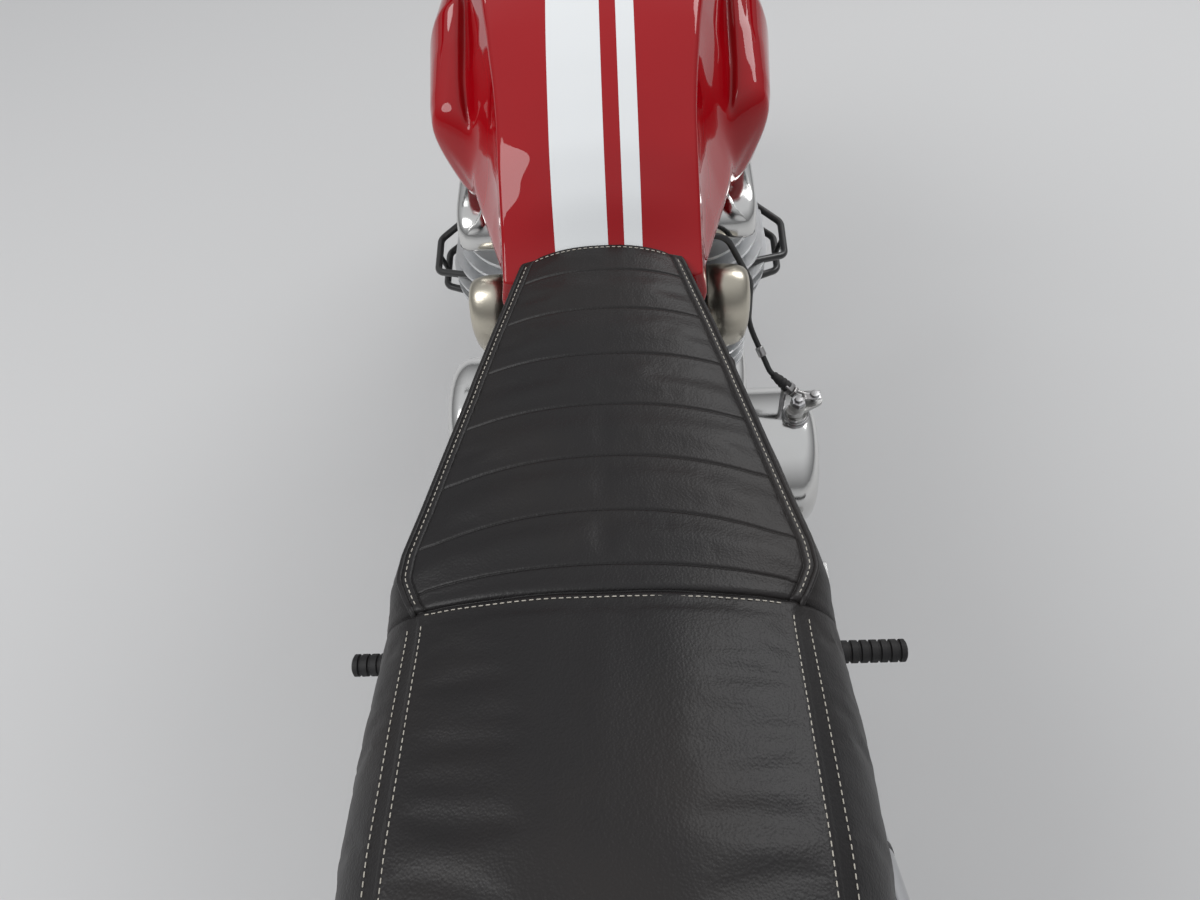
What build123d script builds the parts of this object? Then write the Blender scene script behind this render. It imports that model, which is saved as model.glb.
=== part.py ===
from build123d import *
import os
from math import cos, radians, sin

# A parallel-twin cafe racer motorcycle, parked upright on its centre stand.
# Millimetres: +X forward, +Y to the rider's left, +Z up, floor at Z = 0.

# Clearance between pieces that seat on or in each other
FIT = 0.3

# Wheels and stance
WHEELBASE = 1398
FRONT_AXLE_X = 743
REAR_AXLE_X = FRONT_AXLE_X - WHEELBASE
FRONT_TYRE_R = 316
REAR_TYRE_R = 318
REAR_LIFT = 15
FRONT_TYRE_HALF = 50
REAR_TYRE_HALF = 65
BEAD_SEAT_R = 229
FLANGE_H = 13
RIM_WALL = 5
FRONT_AXLE_Z = FRONT_TYRE_R
REAR_AXLE_Z = REAR_TYRE_R + REAR_LIFT
FRONT_AXLE_R = 8.5
REAR_AXLE_R = 10
SPOKES = 36
SPOKE_R = 2
SPOKE_LEAN = 55

# Steering head and fork, heights measured along the steering axis
RAKE = 24.5
FORK_OFFSET = 38.5
FORK_HALF = 96
STANCHION_R = 20.5
SLIDER_R = 27
FORK_FOOT_R = 30
SLIDER_TOP = 300
SLIDER_BORE = 150
LOWER_YOKE = 437
LOWER_YOKE_T = 30
HEAD_BOTTOM = 475
HEAD_TOP = 635
HEAD_R = 30
HEAD_BORE_R = 22.4
UPPER_YOKE = 643
UPPER_YOKE_T = 25
CLIP_ON_T = 28
STEM_R = 14

# Handlebars
BAR_R = 11
GRIP_R = 16
GRIP_LENGTH = 120
BAR_TIP_X = -69.5
BAR_TIP_Y = 352
BAR_TIP_T = 735

# Frame
RAIL_R = 16
BACKBONE_R = 22
SUBFRAME_R = 14
RAIL_Y = 110
RAIL_Z = 205
UPRIGHT_X = -48
UPRIGHT_Y = 128
PIVOT_X = -95
PIVOT_Z = 372
PIVOT_PLATE_Y = 142
PIVOT_PLATE_T = 12
PIVOT_PIN_R = 9
STAND_PIN_R = 8
SHOCK_STUD_R = 8

# Swingarm, chain and shocks
ARM_INNER = 107
ARM_T = 30
ARM_H = 46
CHAIN_Y = 88
CHAIN_HALF = 8
FRONT_SPROCKET_X = -5
FRONT_SPROCKET_R = 43
REAR_SPROCKET_R = 109
CHAIN_IN = 5
CHAIN_OUT = 8
SHOCK_Y = 151
SHOCK_TOP = (REAR_AXLE_X + 200, 665)
SHOCK_FOOT = (REAR_AXLE_X + 90, 348)
SPRING_R = 25
SPRING_SEAT_R = 26

# Threaded holes in the arms for a workshop stand's bobbins
BOBBIN_X = REAR_AXLE_X + 57
BOBBIN_Z = 330
BOBBIN_R = 4
BOBBIN_DEPTH = 18

# Engine
CASE_REAR = -25
CASE_FRONT = 345
CASE_HALF = 105
CASE_TOP = 470
BARREL_TOP = 590
HEAD_CAST_TOP = 700
ROCKER_TOP = 745
BORE_X = 205
BORE_HALF = 75
EXHAUST_FACE_X = BORE_X + 112
EXHAUST_PORT_Z = 634
INLET_FACE_X = BORE_X - 108
INLET_PORT_Z = 645
INLET_STUB_R = 24
FIN_T = 3.5
COVER_LEFT_Y = 218
COVER_RIGHT_Y = 240

# Exhaust
HEADER_R = 20
SILENCER_R = 50
SILENCER_START = (-120, 190, 245)
SILENCER_END = (-770, 252, 440)

# Tank and seat
TANK_BOTTOM = ROCKER_TOP + 7
TANK_REAR = -34
TANK_FRONT = FRONT_AXLE_X - 345
TUNNEL_HALF = 34
TUNNEL_TOP = TANK_BOTTOM + 86
TUNNEL_START = TANK_REAR + 86
CAP_X = 240
CAP_R = 38
NECK_R = 30
NECK_TOP = TANK_BOTTOM + 212
NECK_DEPTH = 84
SEAT_SEAM_X = -335

# Stands
STAND_PIVOT_X = -95
STAND_PIVOT_Z = 240
STAND_HALF = 150
STAND_FOOT_X = -55
STAND_TUBE_R = 12
SIDE_STAND_X = 170
SIDE_STAND_Z = 165
SIDE_STAND_Y = 138
SIDE_STAND_TILT = 20
SIDE_STAND_LENGTH = 160

os.makedirs("parts", exist_ok=True)

axis_up = Vector(-sin(radians(RAKE)), 0, cos(radians(RAKE)))
axis_forward = Vector(cos(radians(RAKE)), 0, sin(radians(RAKE)))
steering_base = Vector(FRONT_AXLE_X, 0, FRONT_AXLE_Z) - axis_forward * FORK_OFFSET
STEER = Plane(origin=steering_base, x_dir=axis_forward, z_dir=axis_up)
FRONT_WHEEL = Plane(origin=(FRONT_AXLE_X, 0, FRONT_AXLE_Z), x_dir=(1, 0, 0), z_dir=(0, 1, 0))
REAR_WHEEL = Plane(origin=(REAR_AXLE_X, 0, REAR_AXLE_Z), x_dir=(1, 0, 0), z_dir=(0, 1, 0))


def save(name, shape):
    export_step(shape, os.path.join("parts", name + ".step"))


def pair(left):
    return left + mirror(left, about=Plane.XZ)


def rod(start, end, radius):
    run = Vector(*end) - Vector(*start)
    low = (Align.CENTER, Align.CENTER, Align.MIN)
    return Plane(origin=start, z_dir=run) * Cylinder(radius, run.length, align=low)


def across(x, z, y_from, y_to, radius):
    return rod((x, y_from, z), (x, y_to, z), radius)


def upright(x, y, z_from, z_to, radius):
    return rod((x, y, z_from), (x, y, z_to), radius)


def block(x, y, z):
    size = [span[1] - span[0] for span in (x, y, z)]
    centre = [(span[0] + span[1]) / 2 for span in (x, y, z)]
    return Pos(*centre) * Box(*size)


def tube(points, radius, bend):
    path = FilletPolyline(*points, radius=bend)
    return sweep(Plane(origin=path @ 0, z_dir=path % 0) * Circle(radius), path=path)


def outline(points):
    ahead = points[1:] + points[:1]
    area = sum(a[0] * b[1] - b[0] * a[1] for a, b in zip(points, ahead))
    return Polygon(*(points if area > 0 else points[::-1]), align=None)


def side_plate(points, y_from, y_to, corner=0):
    face = outline(points)
    if corner:
        face = fillet(face.vertices(), corner)
    return extrude(Plane.XZ.offset(-y_to) * face, y_to - y_from)


def turned(face):
    return revolve(Plane.XZ * face, axis=Axis.Z)


def turned_points(points):
    return turned(outline(points))


def level_plate(face, z_from, z_to):
    return extrude(Plane.XY.offset(z_from) * face, z_to - z_from)


# Front and rear tyres: a solid ring with a round crown, seated between the rim flanges
def tyre(radius, half_width, bead_half):
    bead_r = BEAD_SEAT_R + FIT
    lip_r = BEAD_SEAT_R + FLANGE_H + 1
    bead = bead_half - FIT
    lip = bead_half + RIM_WALL + 1
    shoulder_r = radius - 0.5 * half_width
    shoulder = 0.84 * half_width
    side_r = (lip_r + shoulder_r) / 2
    face = make_face(
        Polyline((lip_r, -lip), (lip_r, -bead), (bead_r, -bead), (bead_r, bead), (lip_r, bead))
        + Line((lip_r, bead), (lip_r, lip))
        + ThreePointArc((lip_r, lip), (side_r, half_width), (shoulder_r, shoulder))
        + ThreePointArc((shoulder_r, shoulder), (radius, 0), (shoulder_r, -shoulder))
        + ThreePointArc((shoulder_r, -shoulder), (side_r, -half_width), (lip_r, -lip))
    )
    return turned(face)


# Rims: a rolled channel with two flanges and a well
def rim(bead_half):
    seat_r = BEAD_SEAT_R
    flange_r = BEAD_SEAT_R + FLANGE_H
    well_r = BEAD_SEAT_R - 15
    outer = bead_half + RIM_WALL
    half = [
        (flange_r, outer),
        (flange_r, bead_half),
        (seat_r, bead_half),
        (seat_r, 0.5 * bead_half),
        (well_r, 0.35 * bead_half),
    ]
    inner = [
        (well_r - RIM_WALL, -0.35 * bead_half - 2),
        (seat_r - RIM_WALL, -0.5 * bead_half - 2),
        (seat_r - RIM_WALL, -outer),
    ]
    lower = [(r, -y) for r, y in reversed(half)]
    upper_inner = [(r, -y) for r, y in reversed(inner)]
    return turned_points(half + lower + list(reversed(inner)) + list(reversed(upper_inner)))


RIM_INNER_R = BEAD_SEAT_R - 15 - RIM_WALL


# Hub with its wire spokes, laced across each other and cut to length inside the rim
def hub_and_spokes(profile, flange_r, flange_half):
    body = turned_points(profile)
    for i in range(SPOKES):
        side = 1 if i % 2 == 0 else -1
        lean = SPOKE_LEAN if i % 4 < 2 else -SPOKE_LEAN
        layer = SPOKE_R + 0.2 if lean > 0 else -SPOKE_R - 0.2
        at_rim = i * 360 / SPOKES
        at_hub = at_rim + lean
        hub_end = (
            flange_r * cos(radians(at_hub)),
            flange_r * sin(radians(at_hub)),
            side * flange_half + layer,
        )
        reach = RIM_INNER_R + 6
        rim_end = (reach * cos(radians(at_rim)), reach * sin(radians(at_rim)), side * 5)
        body += rod(hub_end, rim_end, SPOKE_R)
    trim = Cylinder(RIM_INNER_R - FIT, 400)
    return body & trim


# Front wheel
FRONT_BEAD = 31
FRONT_HUB_END = 52
save("front_tyre", FRONT_WHEEL * tyre(FRONT_TYRE_R, FRONT_TYRE_HALF, FRONT_BEAD))
save("front_rim", FRONT_WHEEL * rim(FRONT_BEAD))
front_hub = [
    (FRONT_AXLE_R + FIT, -FRONT_HUB_END),
    (40, -FRONT_HUB_END),
    (40, -36),
    (48, -34),
    (48, -27),
    (25, -20),
    (23, 0),
    (25, 20),
    (48, 27),
    (48, 34),
    (30, 37),
    (28, FRONT_HUB_END),
    (FRONT_AXLE_R + FIT, FRONT_HUB_END),
]
save("front_hub_spokes", FRONT_WHEEL * hub_and_spokes(front_hub, 44, 30.5))

# Discs: a flat ring on a spider of arms
def disc(outer_r, ring_w, centre_r, arms, thickness):
    ring = Circle(outer_r) - Circle(outer_r - ring_w)
    middle = Circle(centre_r) - Circle(centre_r * 0.45)
    reach = outer_r - ring_w + 6 - (centre_r - 6)
    arm = Pos(centre_r - 6 + reach / 2, 0) * Rectangle(reach, 16)
    face = ring + middle + [Rot(0, 0, i * 360 / arms) * arm for i in range(arms)]
    return extrude(face, thickness)


FRONT_DISC_R = 160
FRONT_DISC_T = 5
front_disc = disc(FRONT_DISC_R, 44, 38, 6, FRONT_DISC_T)
save("front_disc", FRONT_WHEEL * Pos(0, 0, -FRONT_HUB_END - FIT - FRONT_DISC_T) * front_disc)

# Rear wheel with its disc on the right and sprocket on the left
REAR_BEAD = 41
REAR_HUB_RIGHT = -66
REAR_HUB_LEFT = 80
REAR_DISC_R = 118
REAR_DISC_T = 6
save("rear_tyre", REAR_WHEEL * tyre(REAR_TYRE_R, REAR_TYRE_HALF, REAR_BEAD))
save("rear_rim", REAR_WHEEL * rim(REAR_BEAD))
rear_hub = [
    (REAR_AXLE_R + FIT, REAR_HUB_RIGHT),
    (42, REAR_HUB_RIGHT),
    (42, -46),
    (62, -42),
    (62, -34),
    (34, -26),
    (34, 26),
    (62, 34),
    (62, 42),
    (70, 46),
    (70, 66),
    (42, REAR_HUB_LEFT),
    (REAR_AXLE_R + FIT, REAR_HUB_LEFT),
]
save("rear_hub_spokes", REAR_WHEEL * hub_and_spokes(rear_hub, 58, 38))
rear_disc = disc(REAR_DISC_R, 36, 40, 5, REAR_DISC_T)
save("rear_disc", REAR_WHEEL * Pos(0, 0, REAR_HUB_RIGHT - FIT - REAR_DISC_T) * rear_disc)

SPROCKET_T = 7
SPROCKET_ROOT_R = REAR_SPROCKET_R - CHAIN_IN - 1
sprocket_ring = Circle(SPROCKET_ROOT_R) - Circle(SPROCKET_ROOT_R - 22)
sprocket_hub = Circle(50) - Circle(26)
sprocket_arm = Pos(65, 0) * Rectangle(46, 18)
sprocket_arms = [Rot(0, 0, i * 60) * sprocket_arm for i in range(6)]
sprocket = extrude(sprocket_ring + sprocket_hub + sprocket_arms, SPROCKET_T)
save("rear_sprocket", REAR_WHEEL * Pos(0, 0, REAR_HUB_LEFT + FIT) * sprocket)

# Axles with their spacers
FORK_INNER = FORK_HALF - SLIDER_R
foot_inner = FORK_HALF - FORK_FOOT_R - FIT
spacer_left = across(FRONT_AXLE_X, FRONT_AXLE_Z, FRONT_HUB_END + 0.5, foot_inner, 14)
disc_face = FRONT_HUB_END + FRONT_DISC_T + 2 * FIT
spacer_right = across(FRONT_AXLE_X, FRONT_AXLE_Z, -foot_inner, -disc_face, 14)
axle_end = FORK_HALF + FORK_FOOT_R + FIT
front_axle = across(FRONT_AXLE_X, FRONT_AXLE_Z, -axle_end - 8, axle_end + 8, FRONT_AXLE_R)
for side in (-1, 1):
    front_axle += across(FRONT_AXLE_X, FRONT_AXLE_Z, side * axle_end, side * (axle_end + 10), 14)
front_axle += spacer_left + spacer_right

rear_end = ARM_INNER + ARM_T + FIT
rear_axle = across(REAR_AXLE_X, REAR_AXLE_Z, -rear_end - 10, rear_end + 10, REAR_AXLE_R)
for side in (-1, 1):
    rear_axle += across(REAR_AXLE_X, REAR_AXLE_Z, side * rear_end, side * (rear_end + 12), 17)
rear_axle += across(REAR_AXLE_X, REAR_AXLE_Z, REAR_HUB_LEFT + SPROCKET_T + 1, ARM_INNER - FIT, 18)
rear_axle += across(REAR_AXLE_X, REAR_AXLE_Z, -ARM_INNER + FIT, REAR_HUB_RIGHT - REAR_DISC_T - 1, 16)

# Telescopic fork: sliders, rubber gaiters, chromed stanchions
slider = Pos(FORK_OFFSET, FORK_HALF, 0) * turned_points(
    [
        (0, -28),
        (24, -28),
        (FORK_FOOT_R, -20),
        (FORK_FOOT_R, 20),
        (SLIDER_R, 32),
        (SLIDER_R, SLIDER_TOP - 22),
        (31, SLIDER_TOP - 18),
        (31, SLIDER_TOP),
        (STANCHION_R + FIT, SLIDER_TOP),
        (STANCHION_R + FIT, SLIDER_BORE),
        (0, SLIDER_BORE),
    ]
)
axle_hole = Plane(origin=(FORK_OFFSET, 0, 0), z_dir=(0, 1, 0)) * Cylinder(FRONT_AXLE_R + FIT, 400)
STAY_T = (215, 188)
STAY_Y = FORK_INNER - 6
for mount_t in STAY_T:
    slider += rod((FORK_OFFSET, STAY_Y + FIT, mount_t), (FORK_OFFSET, FORK_HALF - 10, mount_t), 7)
CALIPER_LUG_Y = 76.3
CALIPER_LUG = [(FORK_OFFSET, 40), (-70, 66), (-84, 112), (-56, 128), (FORK_OFFSET, 150)]
sliders = pair(slider) + side_plate(CALIPER_LUG, -90, -CALIPER_LUG_Y, 6)
sliders -= pair(rod((FORK_OFFSET, FORK_HALF, SLIDER_BORE), (FORK_OFFSET, FORK_HALF, 400), STANCHION_R + FIT))
save("fork_sliders", STEER * (sliders - axle_hole) + front_axle)

GAITER_RIBS = 9
gaiter_low = SLIDER_TOP + FIT
gaiter_high = LOWER_YOKE - FIT
rib = (gaiter_high - gaiter_low) / GAITER_RIBS
gaiter_points = [(STANCHION_R + FIT, gaiter_high), (STANCHION_R + FIT, gaiter_low), (29, gaiter_low)]
for i in range(GAITER_RIBS):
    gaiter_points += [(36, gaiter_low + (i + 0.5) * rib), (29, gaiter_low + (i + 1) * rib)]
gaiter = Pos(FORK_OFFSET, FORK_HALF, 0) * turned_points(gaiter_points)
save("fork_gaiters", STEER * pair(gaiter))

STANCHION_TOP = 706
stanchion = upright(FORK_OFFSET, FORK_HALF, SLIDER_BORE + 2, STANCHION_TOP, STANCHION_R)
save("fork_stanchions", STEER * pair(stanchion))


# Yokes: two clamp plates joined by the steering stem
def yoke(boss_r, clamp_r, z_from, thickness):
    legs = [Pos(FORK_OFFSET, side * FORK_HALF) * Circle(clamp_r) for side in (-1, 1)]
    web = outline(
        [
            (-boss_r * 0.8, 0),
            (FORK_OFFSET - clamp_r * 0.7, FORK_HALF),
            (FORK_OFFSET + clamp_r * 0.7, FORK_HALF),
            (boss_r * 0.9, 0),
            (FORK_OFFSET + clamp_r * 0.7, -FORK_HALF),
            (FORK_OFFSET - clamp_r * 0.7, -FORK_HALF),
        ]
    )
    bores = [Pos(FORK_OFFSET, side * FORK_HALF) * Circle(STANCHION_R + FIT) for side in (-1, 1)]
    return level_plate(Circle(boss_r) + legs + web - bores, z_from, z_from + thickness)


yokes = yoke(30, 32, LOWER_YOKE, LOWER_YOKE_T) + yoke(28, 29, UPPER_YOKE, UPPER_YOKE_T)
stem_top = UPPER_YOKE + UPPER_YOKE_T + 12
yokes += rod((0, 0, LOWER_YOKE), (0, 0, stem_top - 8), STEM_R)
yokes += rod((0, 0, stem_top - 12), (0, 0, stem_top), 17)
for low in (HEAD_BOTTOM, HEAD_TOP - 14):
    yokes += rod((0, 0, low), (0, 0, low + 14), HEAD_BORE_R - 0.4)
save("fork_yokes", STEER * yokes)

# Clip-on handlebars clamped round the stanchions above the upper yoke
CLIP_LOW = UPPER_YOKE + UPPER_YOKE_T + FIT
clip_mid = CLIP_LOW + CLIP_ON_T / 2
bar_root = Vector(FORK_OFFSET, FORK_HALF, clip_mid)
bar_tip = Vector(BAR_TIP_X, BAR_TIP_Y, BAR_TIP_T)
bar_run = bar_tip - bar_root
bar_dir = bar_run.normalized()


def on_bar(from_tip):
    return bar_tip - bar_dir * from_tip


clamp = Pos(FORK_OFFSET, FORK_HALF, CLIP_LOW) * extrude(Circle(29), CLIP_ON_T)
bar = rod(tuple(bar_root + bar_dir * 15), tuple(bar_tip), BAR_R)
bore = Pos(FORK_OFFSET, FORK_HALF, CLIP_LOW) * Cylinder(STANCHION_R + FIT, 200)
handlebar = clamp + bar - bore
bar_end = rod(tuple(bar_tip - bar_dir * 1), tuple(bar_tip + bar_dir * 14), GRIP_R)
save("handlebars", STEER * pair(handlebar + bar_end))

grip_from = on_bar(GRIP_LENGTH + FIT + 1)
grip_to = on_bar(FIT + 1)
grip = rod(tuple(grip_from), tuple(grip_to), GRIP_R) + rod(
    tuple(grip_from), tuple(grip_from + bar_dir * 6), GRIP_R + 5
)
grip -= rod(tuple(bar_root), tuple(bar_tip + bar_dir * 20), BAR_R + FIT)
save("grips", STEER * pair(grip))

# Switch pods, lever perches and the front brake fluid reservoir
pod_from = on_bar(GRIP_LENGTH + 50)
pod_to = on_bar(GRIP_LENGTH + 3)
pod = rod(tuple(pod_from), tuple(pod_to), 21)
pod -= rod(tuple(bar_root), tuple(bar_tip), BAR_R + FIT)

perch_at = on_bar(GRIP_LENGTH + 66)
bar_front = bar_dir.cross(Vector(0, 0, 1)).normalized()
if bar_front.X < 0:
    bar_front = bar_front * -1
lever_pivot = perch_at + bar_front * 38
lever_bend = perch_at + bar_dir * 46 + bar_front * 60
lever_end = bar_tip - bar_dir * 6 + bar_front * 66
lever_run = (lever_end - lever_bend).normalized()
PIVOT_HALF = Vector(0, 0, 9)
# Rods of one control set: from, to, radius
CONTROL_RODS = [
    (perch_at - bar_dir * 10, perch_at + bar_dir * 12, 18),
    (perch_at, lever_pivot, 9),
    (lever_pivot - PIVOT_HALF, lever_pivot + PIVOT_HALF, 10),
    (lever_pivot, lever_bend, 6),
    (lever_bend, lever_end, 5.5),
    (lever_end - lever_run * 6, lever_end + lever_run * 8, 8),
]


def on_side(point, side):
    return (point.X, side * point.Y, point.Z)


def control_set(side):
    piece = Pos(*on_side(lever_bend, side)) * Sphere(6.5)
    for start, end, radius in CONTROL_RODS:
        piece += rod(on_side(start, side), on_side(end, side), radius)
    return piece - rod(on_side(bar_root, side), on_side(bar_tip, side), BAR_R + FIT)


left_set = control_set(1)
right_set = control_set(-1)
reservoir_at = perch_at + bar_front * 36 - bar_dir * 22
reservoir = rod(on_side(reservoir_at, -1), on_side(reservoir_at + Vector(0, 0, 42), -1), 18)
save("hand_controls", STEER * (left_set + right_set + reservoir + pair(pod)))

# Round mirrors on stalks
MIRROR_R = 50
stalk_foot = STEER.from_local_coords(perch_at + Vector(0, 0, 17))
mirror_at = Vector(FRONT_AXLE_X - 323, 318, 1075)
stalk_low = stalk_foot + Vector(15, 10, 45)
stalk_high = mirror_at + Vector(12, 0, -30)
stalk = tube([tuple(stalk_foot), tuple(stalk_low), tuple(stalk_high), tuple(mirror_at)], 4.5, 12)
mirror_face = Plane(origin=mirror_at, z_dir=(-1, 0, 0.06))
shell = mirror_face * Pos(0, 0, -12) * Cone(MIRROR_R * 0.6, MIRROR_R, 16)
mirror_head = shell - mirror_face * Pos(0, 0, 0) * Cylinder(MIRROR_R - 3, 10)
stalk -= mirror_face * Cylinder(MIRROR_R - 3, 10)
stalk -= STEER * left_set
glass = mirror_face * Pos(0, 0, -5 + FIT + 2) * Cylinder(MIRROR_R - 3 - FIT, 4)
save("mirrors", pair(stalk + mirror_head) + pair(glass))

# Headlamp bucket, lens and its ears on the fork
LAMP_X = FRONT_AXLE_X - 143
LAMP_Z = 815
LAMP_R = 88
lamp_axis = Plane(origin=(LAMP_X, 0, LAMP_Z), z_dir=(1, 0, 0))
bucket = make_face(
    Polyline((0, -62), (30, -62))
    + ThreePointArc((30, -62), (70, -36), (LAMP_R - 4, 20))
    + Polyline((LAMP_R - 4, 20), (LAMP_R, 22), (LAMP_R, 42), (LAMP_R - 6, 46), (LAMP_R - 6, 34))
    + Polyline((LAMP_R - 6, 34), (0, 34), (0, -62))
)
save("headlamp_shell", lamp_axis * turned(bucket))
lens_r = LAMP_R - 6 - FIT
lens_sag = 16
lens_curve = (lens_r**2 + lens_sag**2) / (2 * lens_sag)
lens_mid = (lens_r / 2, 44 + lens_sag - lens_curve + (lens_curve**2 - lens_r**2 / 4) ** 0.5)
lens = make_face(
    Polyline((0, 34 + FIT), (lens_r, 34 + FIT), (lens_r, 44))
    + ThreePointArc((lens_r, 44), lens_mid, (0, 44 + lens_sag))
    + Line((0, 44 + lens_sag), (0, 34 + FIT))
)
save("headlamp_lens", lamp_axis * turned(lens))

EAR_LOW = 478
EAR_HIGH = 560
ear_sleeve = rod((FORK_OFFSET, FORK_HALF, EAR_LOW), (FORK_OFFSET, FORK_HALF, EAR_HIGH), STANCHION_R + 4)
ear_bore = rod((FORK_OFFSET, FORK_HALF, 400), (FORK_OFFSET, FORK_HALF, 700), STANCHION_R + FIT)
ear_base = STEER.from_local_coords(Vector(FORK_OFFSET + STANCHION_R + 2, 0, 520))
EAR_EDGE = [
    (ear_base.X, ear_base.Z - 26),
    (ear_base.X, ear_base.Z + 26),
    (LAMP_X + 12, LAMP_Z + 12),
    (LAMP_X + 12, LAMP_Z - 12),
]
ear = side_plate(EAR_EDGE, FORK_HALF - 4, FORK_HALF + 1, 4)
ear += across(LAMP_X, LAMP_Z, LAMP_R - 14, FORK_HALF, 6) - lamp_axis * Cylinder(LAMP_R + FIT, 200)
save("headlamp_brackets", pair(STEER * ear_sleeve + ear - STEER * ear_bore))


# Indicators: a bullet body on a stalk with a round lens
def indicator(x, y, z, stalk_from, facing):
    body = Plane(origin=(x, y, z), z_dir=(facing, 0, 0))
    shell = turned_points([(0, -24), (14, -22), (27, -4), (30, 12), (0, 12)])
    return body * shell + rod((x, stalk_from, z), (x, y, z), 6)


def indicator_lens(x, y, z, facing):
    body = Plane(origin=(x, y, z), z_dir=(facing, 0, 0))
    return body * turned_points([(0, 12 + FIT), (29, 12 + FIT), (26, 20), (0, 25)])


FRONT_IND = (LAMP_X - 25, 158, 795)
front_ind = indicator(*FRONT_IND, FORK_HALF + 1 + FIT, 1)
save("front_indicators", pair(front_ind) + pair(indicator_lens(*FRONT_IND, 1)))

# Instruments: two round dials on a bracket over the upper yoke
DIAL_R = 42
DIAL_Y = 50
DIAL_DEPTH = 52
dial_plane = Plane(origin=(FRONT_AXLE_X - 231, DIAL_Y, 975), x_dir=(0, 1, 0), z_dir=(-0.55, 0, 0.835))
DIAL_PROFILE = [
    (0, -DIAL_DEPTH),
    (28, -DIAL_DEPTH),
    (38, -34),
    (DIAL_R - 2, -8),
    (DIAL_R, -6),
    (DIAL_R, 3),
    (DIAL_R - 4, 3),
    (DIAL_R - 4, -3),
    (0, -3),
]
dial_cup = turned_points(DIAL_PROFILE)
dials = pair(dial_plane * dial_cup)
bracket_z = UPPER_YOKE + UPPER_YOKE_T + FIT
bracket = STEER * block((19, 84), (-60, 60), (bracket_z, bracket_z + 5))
dial_glass = dial_plane * Pos(0, 0, -3 + FIT + 1) * Cylinder(DIAL_R - 4 - FIT, 2)
save("instruments", dials + bracket + pair(dial_glass))

# Front mudguard over the tyre with brackets and stays to the sliders
GUARD_R = FRONT_TYRE_R + 18
GUARD_HALF = 57
GUARD_T = 2.5


def guard_strip(outer_r, half, thickness, drop):
    edge_r = outer_r - drop
    inner_r = outer_r - thickness
    inner_edge_r = edge_r - thickness
    return make_face(
        ThreePointArc((edge_r, -half), (outer_r, 0), (edge_r, half))
        + Line((edge_r, half), (inner_edge_r, half - 1))
        + ThreePointArc((inner_edge_r, half - 1), (inner_r, 0), (inner_edge_r, -half + 1))
        + Line((inner_edge_r, -half + 1), (edge_r, -half))
    )


# A mudguard spans from a leading angle round to a trailing angle above the axle line
def guard(outer_r, half, thickness, drop, lead, trail):
    strip = Plane.XZ * guard_strip(outer_r, half, thickness, drop)
    sweep_angle = trail - lead
    arc = revolve(strip, axis=Axis.Z, revolution_arc=sweep_angle)
    return Rot(0, 0, -trail) * arc


front_guard = FRONT_WHEEL * guard(GUARD_R, GUARD_HALF, GUARD_T, 20, 48, 152)
guard_mount = block((FORK_OFFSET - 22, FORK_OFFSET + 22), (GUARD_HALF - 2, GUARD_HALF + 2.5), (236, 314))
guard_mount += block((FORK_OFFSET - 18, FORK_OFFSET + 18), (GUARD_HALF - 2, FORK_INNER - FIT), (236, 276))
front_stays = STEER * guard_mount
for angle, mount_t in zip((146, 60), STAY_T):
    edge = GUARD_R - 21
    high_x = FRONT_AXLE_X + edge * cos(radians(angle))
    high_z = FRONT_AXLE_Z + edge * sin(radians(angle))
    low = STEER.from_local_coords(Vector(FORK_OFFSET, STAY_Y - 3.5, mount_t))
    front_stays += rod((high_x, GUARD_HALF - 1, high_z), tuple(low), 3.5)
    front_stays += STEER * rod((FORK_OFFSET, STAY_Y - 5, mount_t), (FORK_OFFSET, STAY_Y, mount_t), 7)
save("front_mudguard", front_guard + pair(front_stays))

# Front caliper straddling the disc behind the right slider
caliper = Pos(150, 0, 0) * Box(72, 88, 38) - Pos(138, 0, 0) * Box(60, 100, 15)
caliper = Pos(0, 0, -disc_face + FIT + FRONT_DISC_T / 2 - 1) * Rot(0, 0, -147) * caliper
save("front_caliper", FRONT_WHEEL * caliper)

# Frame: head tube, backbone, cradle and rear loop
head_tube = STEER * rod((0, 0, HEAD_BOTTOM), (0, 0, HEAD_TOP), HEAD_R)
backbone_end = (-62, 0, 734)
backbone_root = STEER.from_local_coords(Vector(0, 0, 560))
frame = head_tube + tube([tuple(backbone_root), (100, 0, 774), backbone_end], BACKBONE_R, 200)
SEAT_RAIL_Y = 98
SEAT_RAIL_Z = 705
cradle_root = STEER.from_local_coords(Vector(-20, 14, 520))
DOWN_TUBE_X = FRONT_AXLE_X - 325
cradle = tube(
    [
        tuple(cradle_root),
        (DOWN_TUBE_X, 58, 700),
        (DOWN_TUBE_X + 6, 95, 490),
        (DOWN_TUBE_X - 33, 106, 250),
        (DOWN_TUBE_X - 73, RAIL_Y, RAIL_Z),
        (-10, RAIL_Y, RAIL_Z),
        (UPRIGHT_X, UPRIGHT_Y, 265),
        (UPRIGHT_X, UPRIGHT_Y, 560),
        (-62, SEAT_RAIL_Y, SEAT_RAIL_Z + 6),
    ],
    RAIL_R,
    [70, 90, 120, 50, 30, 30, 60],
)
LOOP_END = REAR_AXLE_X - 29
rear_loop = tube(
    [
        (-48, 12, 734),
        (-72, SEAT_RAIL_Y, SEAT_RAIL_Z),
        (-420, 112, SEAT_RAIL_Z),
        (LOOP_END + 34, 104, 718),
        (LOOP_END, 70, 720),
        (LOOP_END, 0, 720),
    ],
    SUBFRAME_R,
    [50, 300, 24, 24],
)
stay = rod((UPRIGHT_X - 6, UPRIGHT_Y - 2, 470), (-430, 114, SEAT_RAIL_Z - 4), SUBFRAME_R - 2)
PLATE_EDGE = [(-125, 335), (-125, 405), (-70, 480), (-36, 480), (-36, 300), (-70, 290)]
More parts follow.
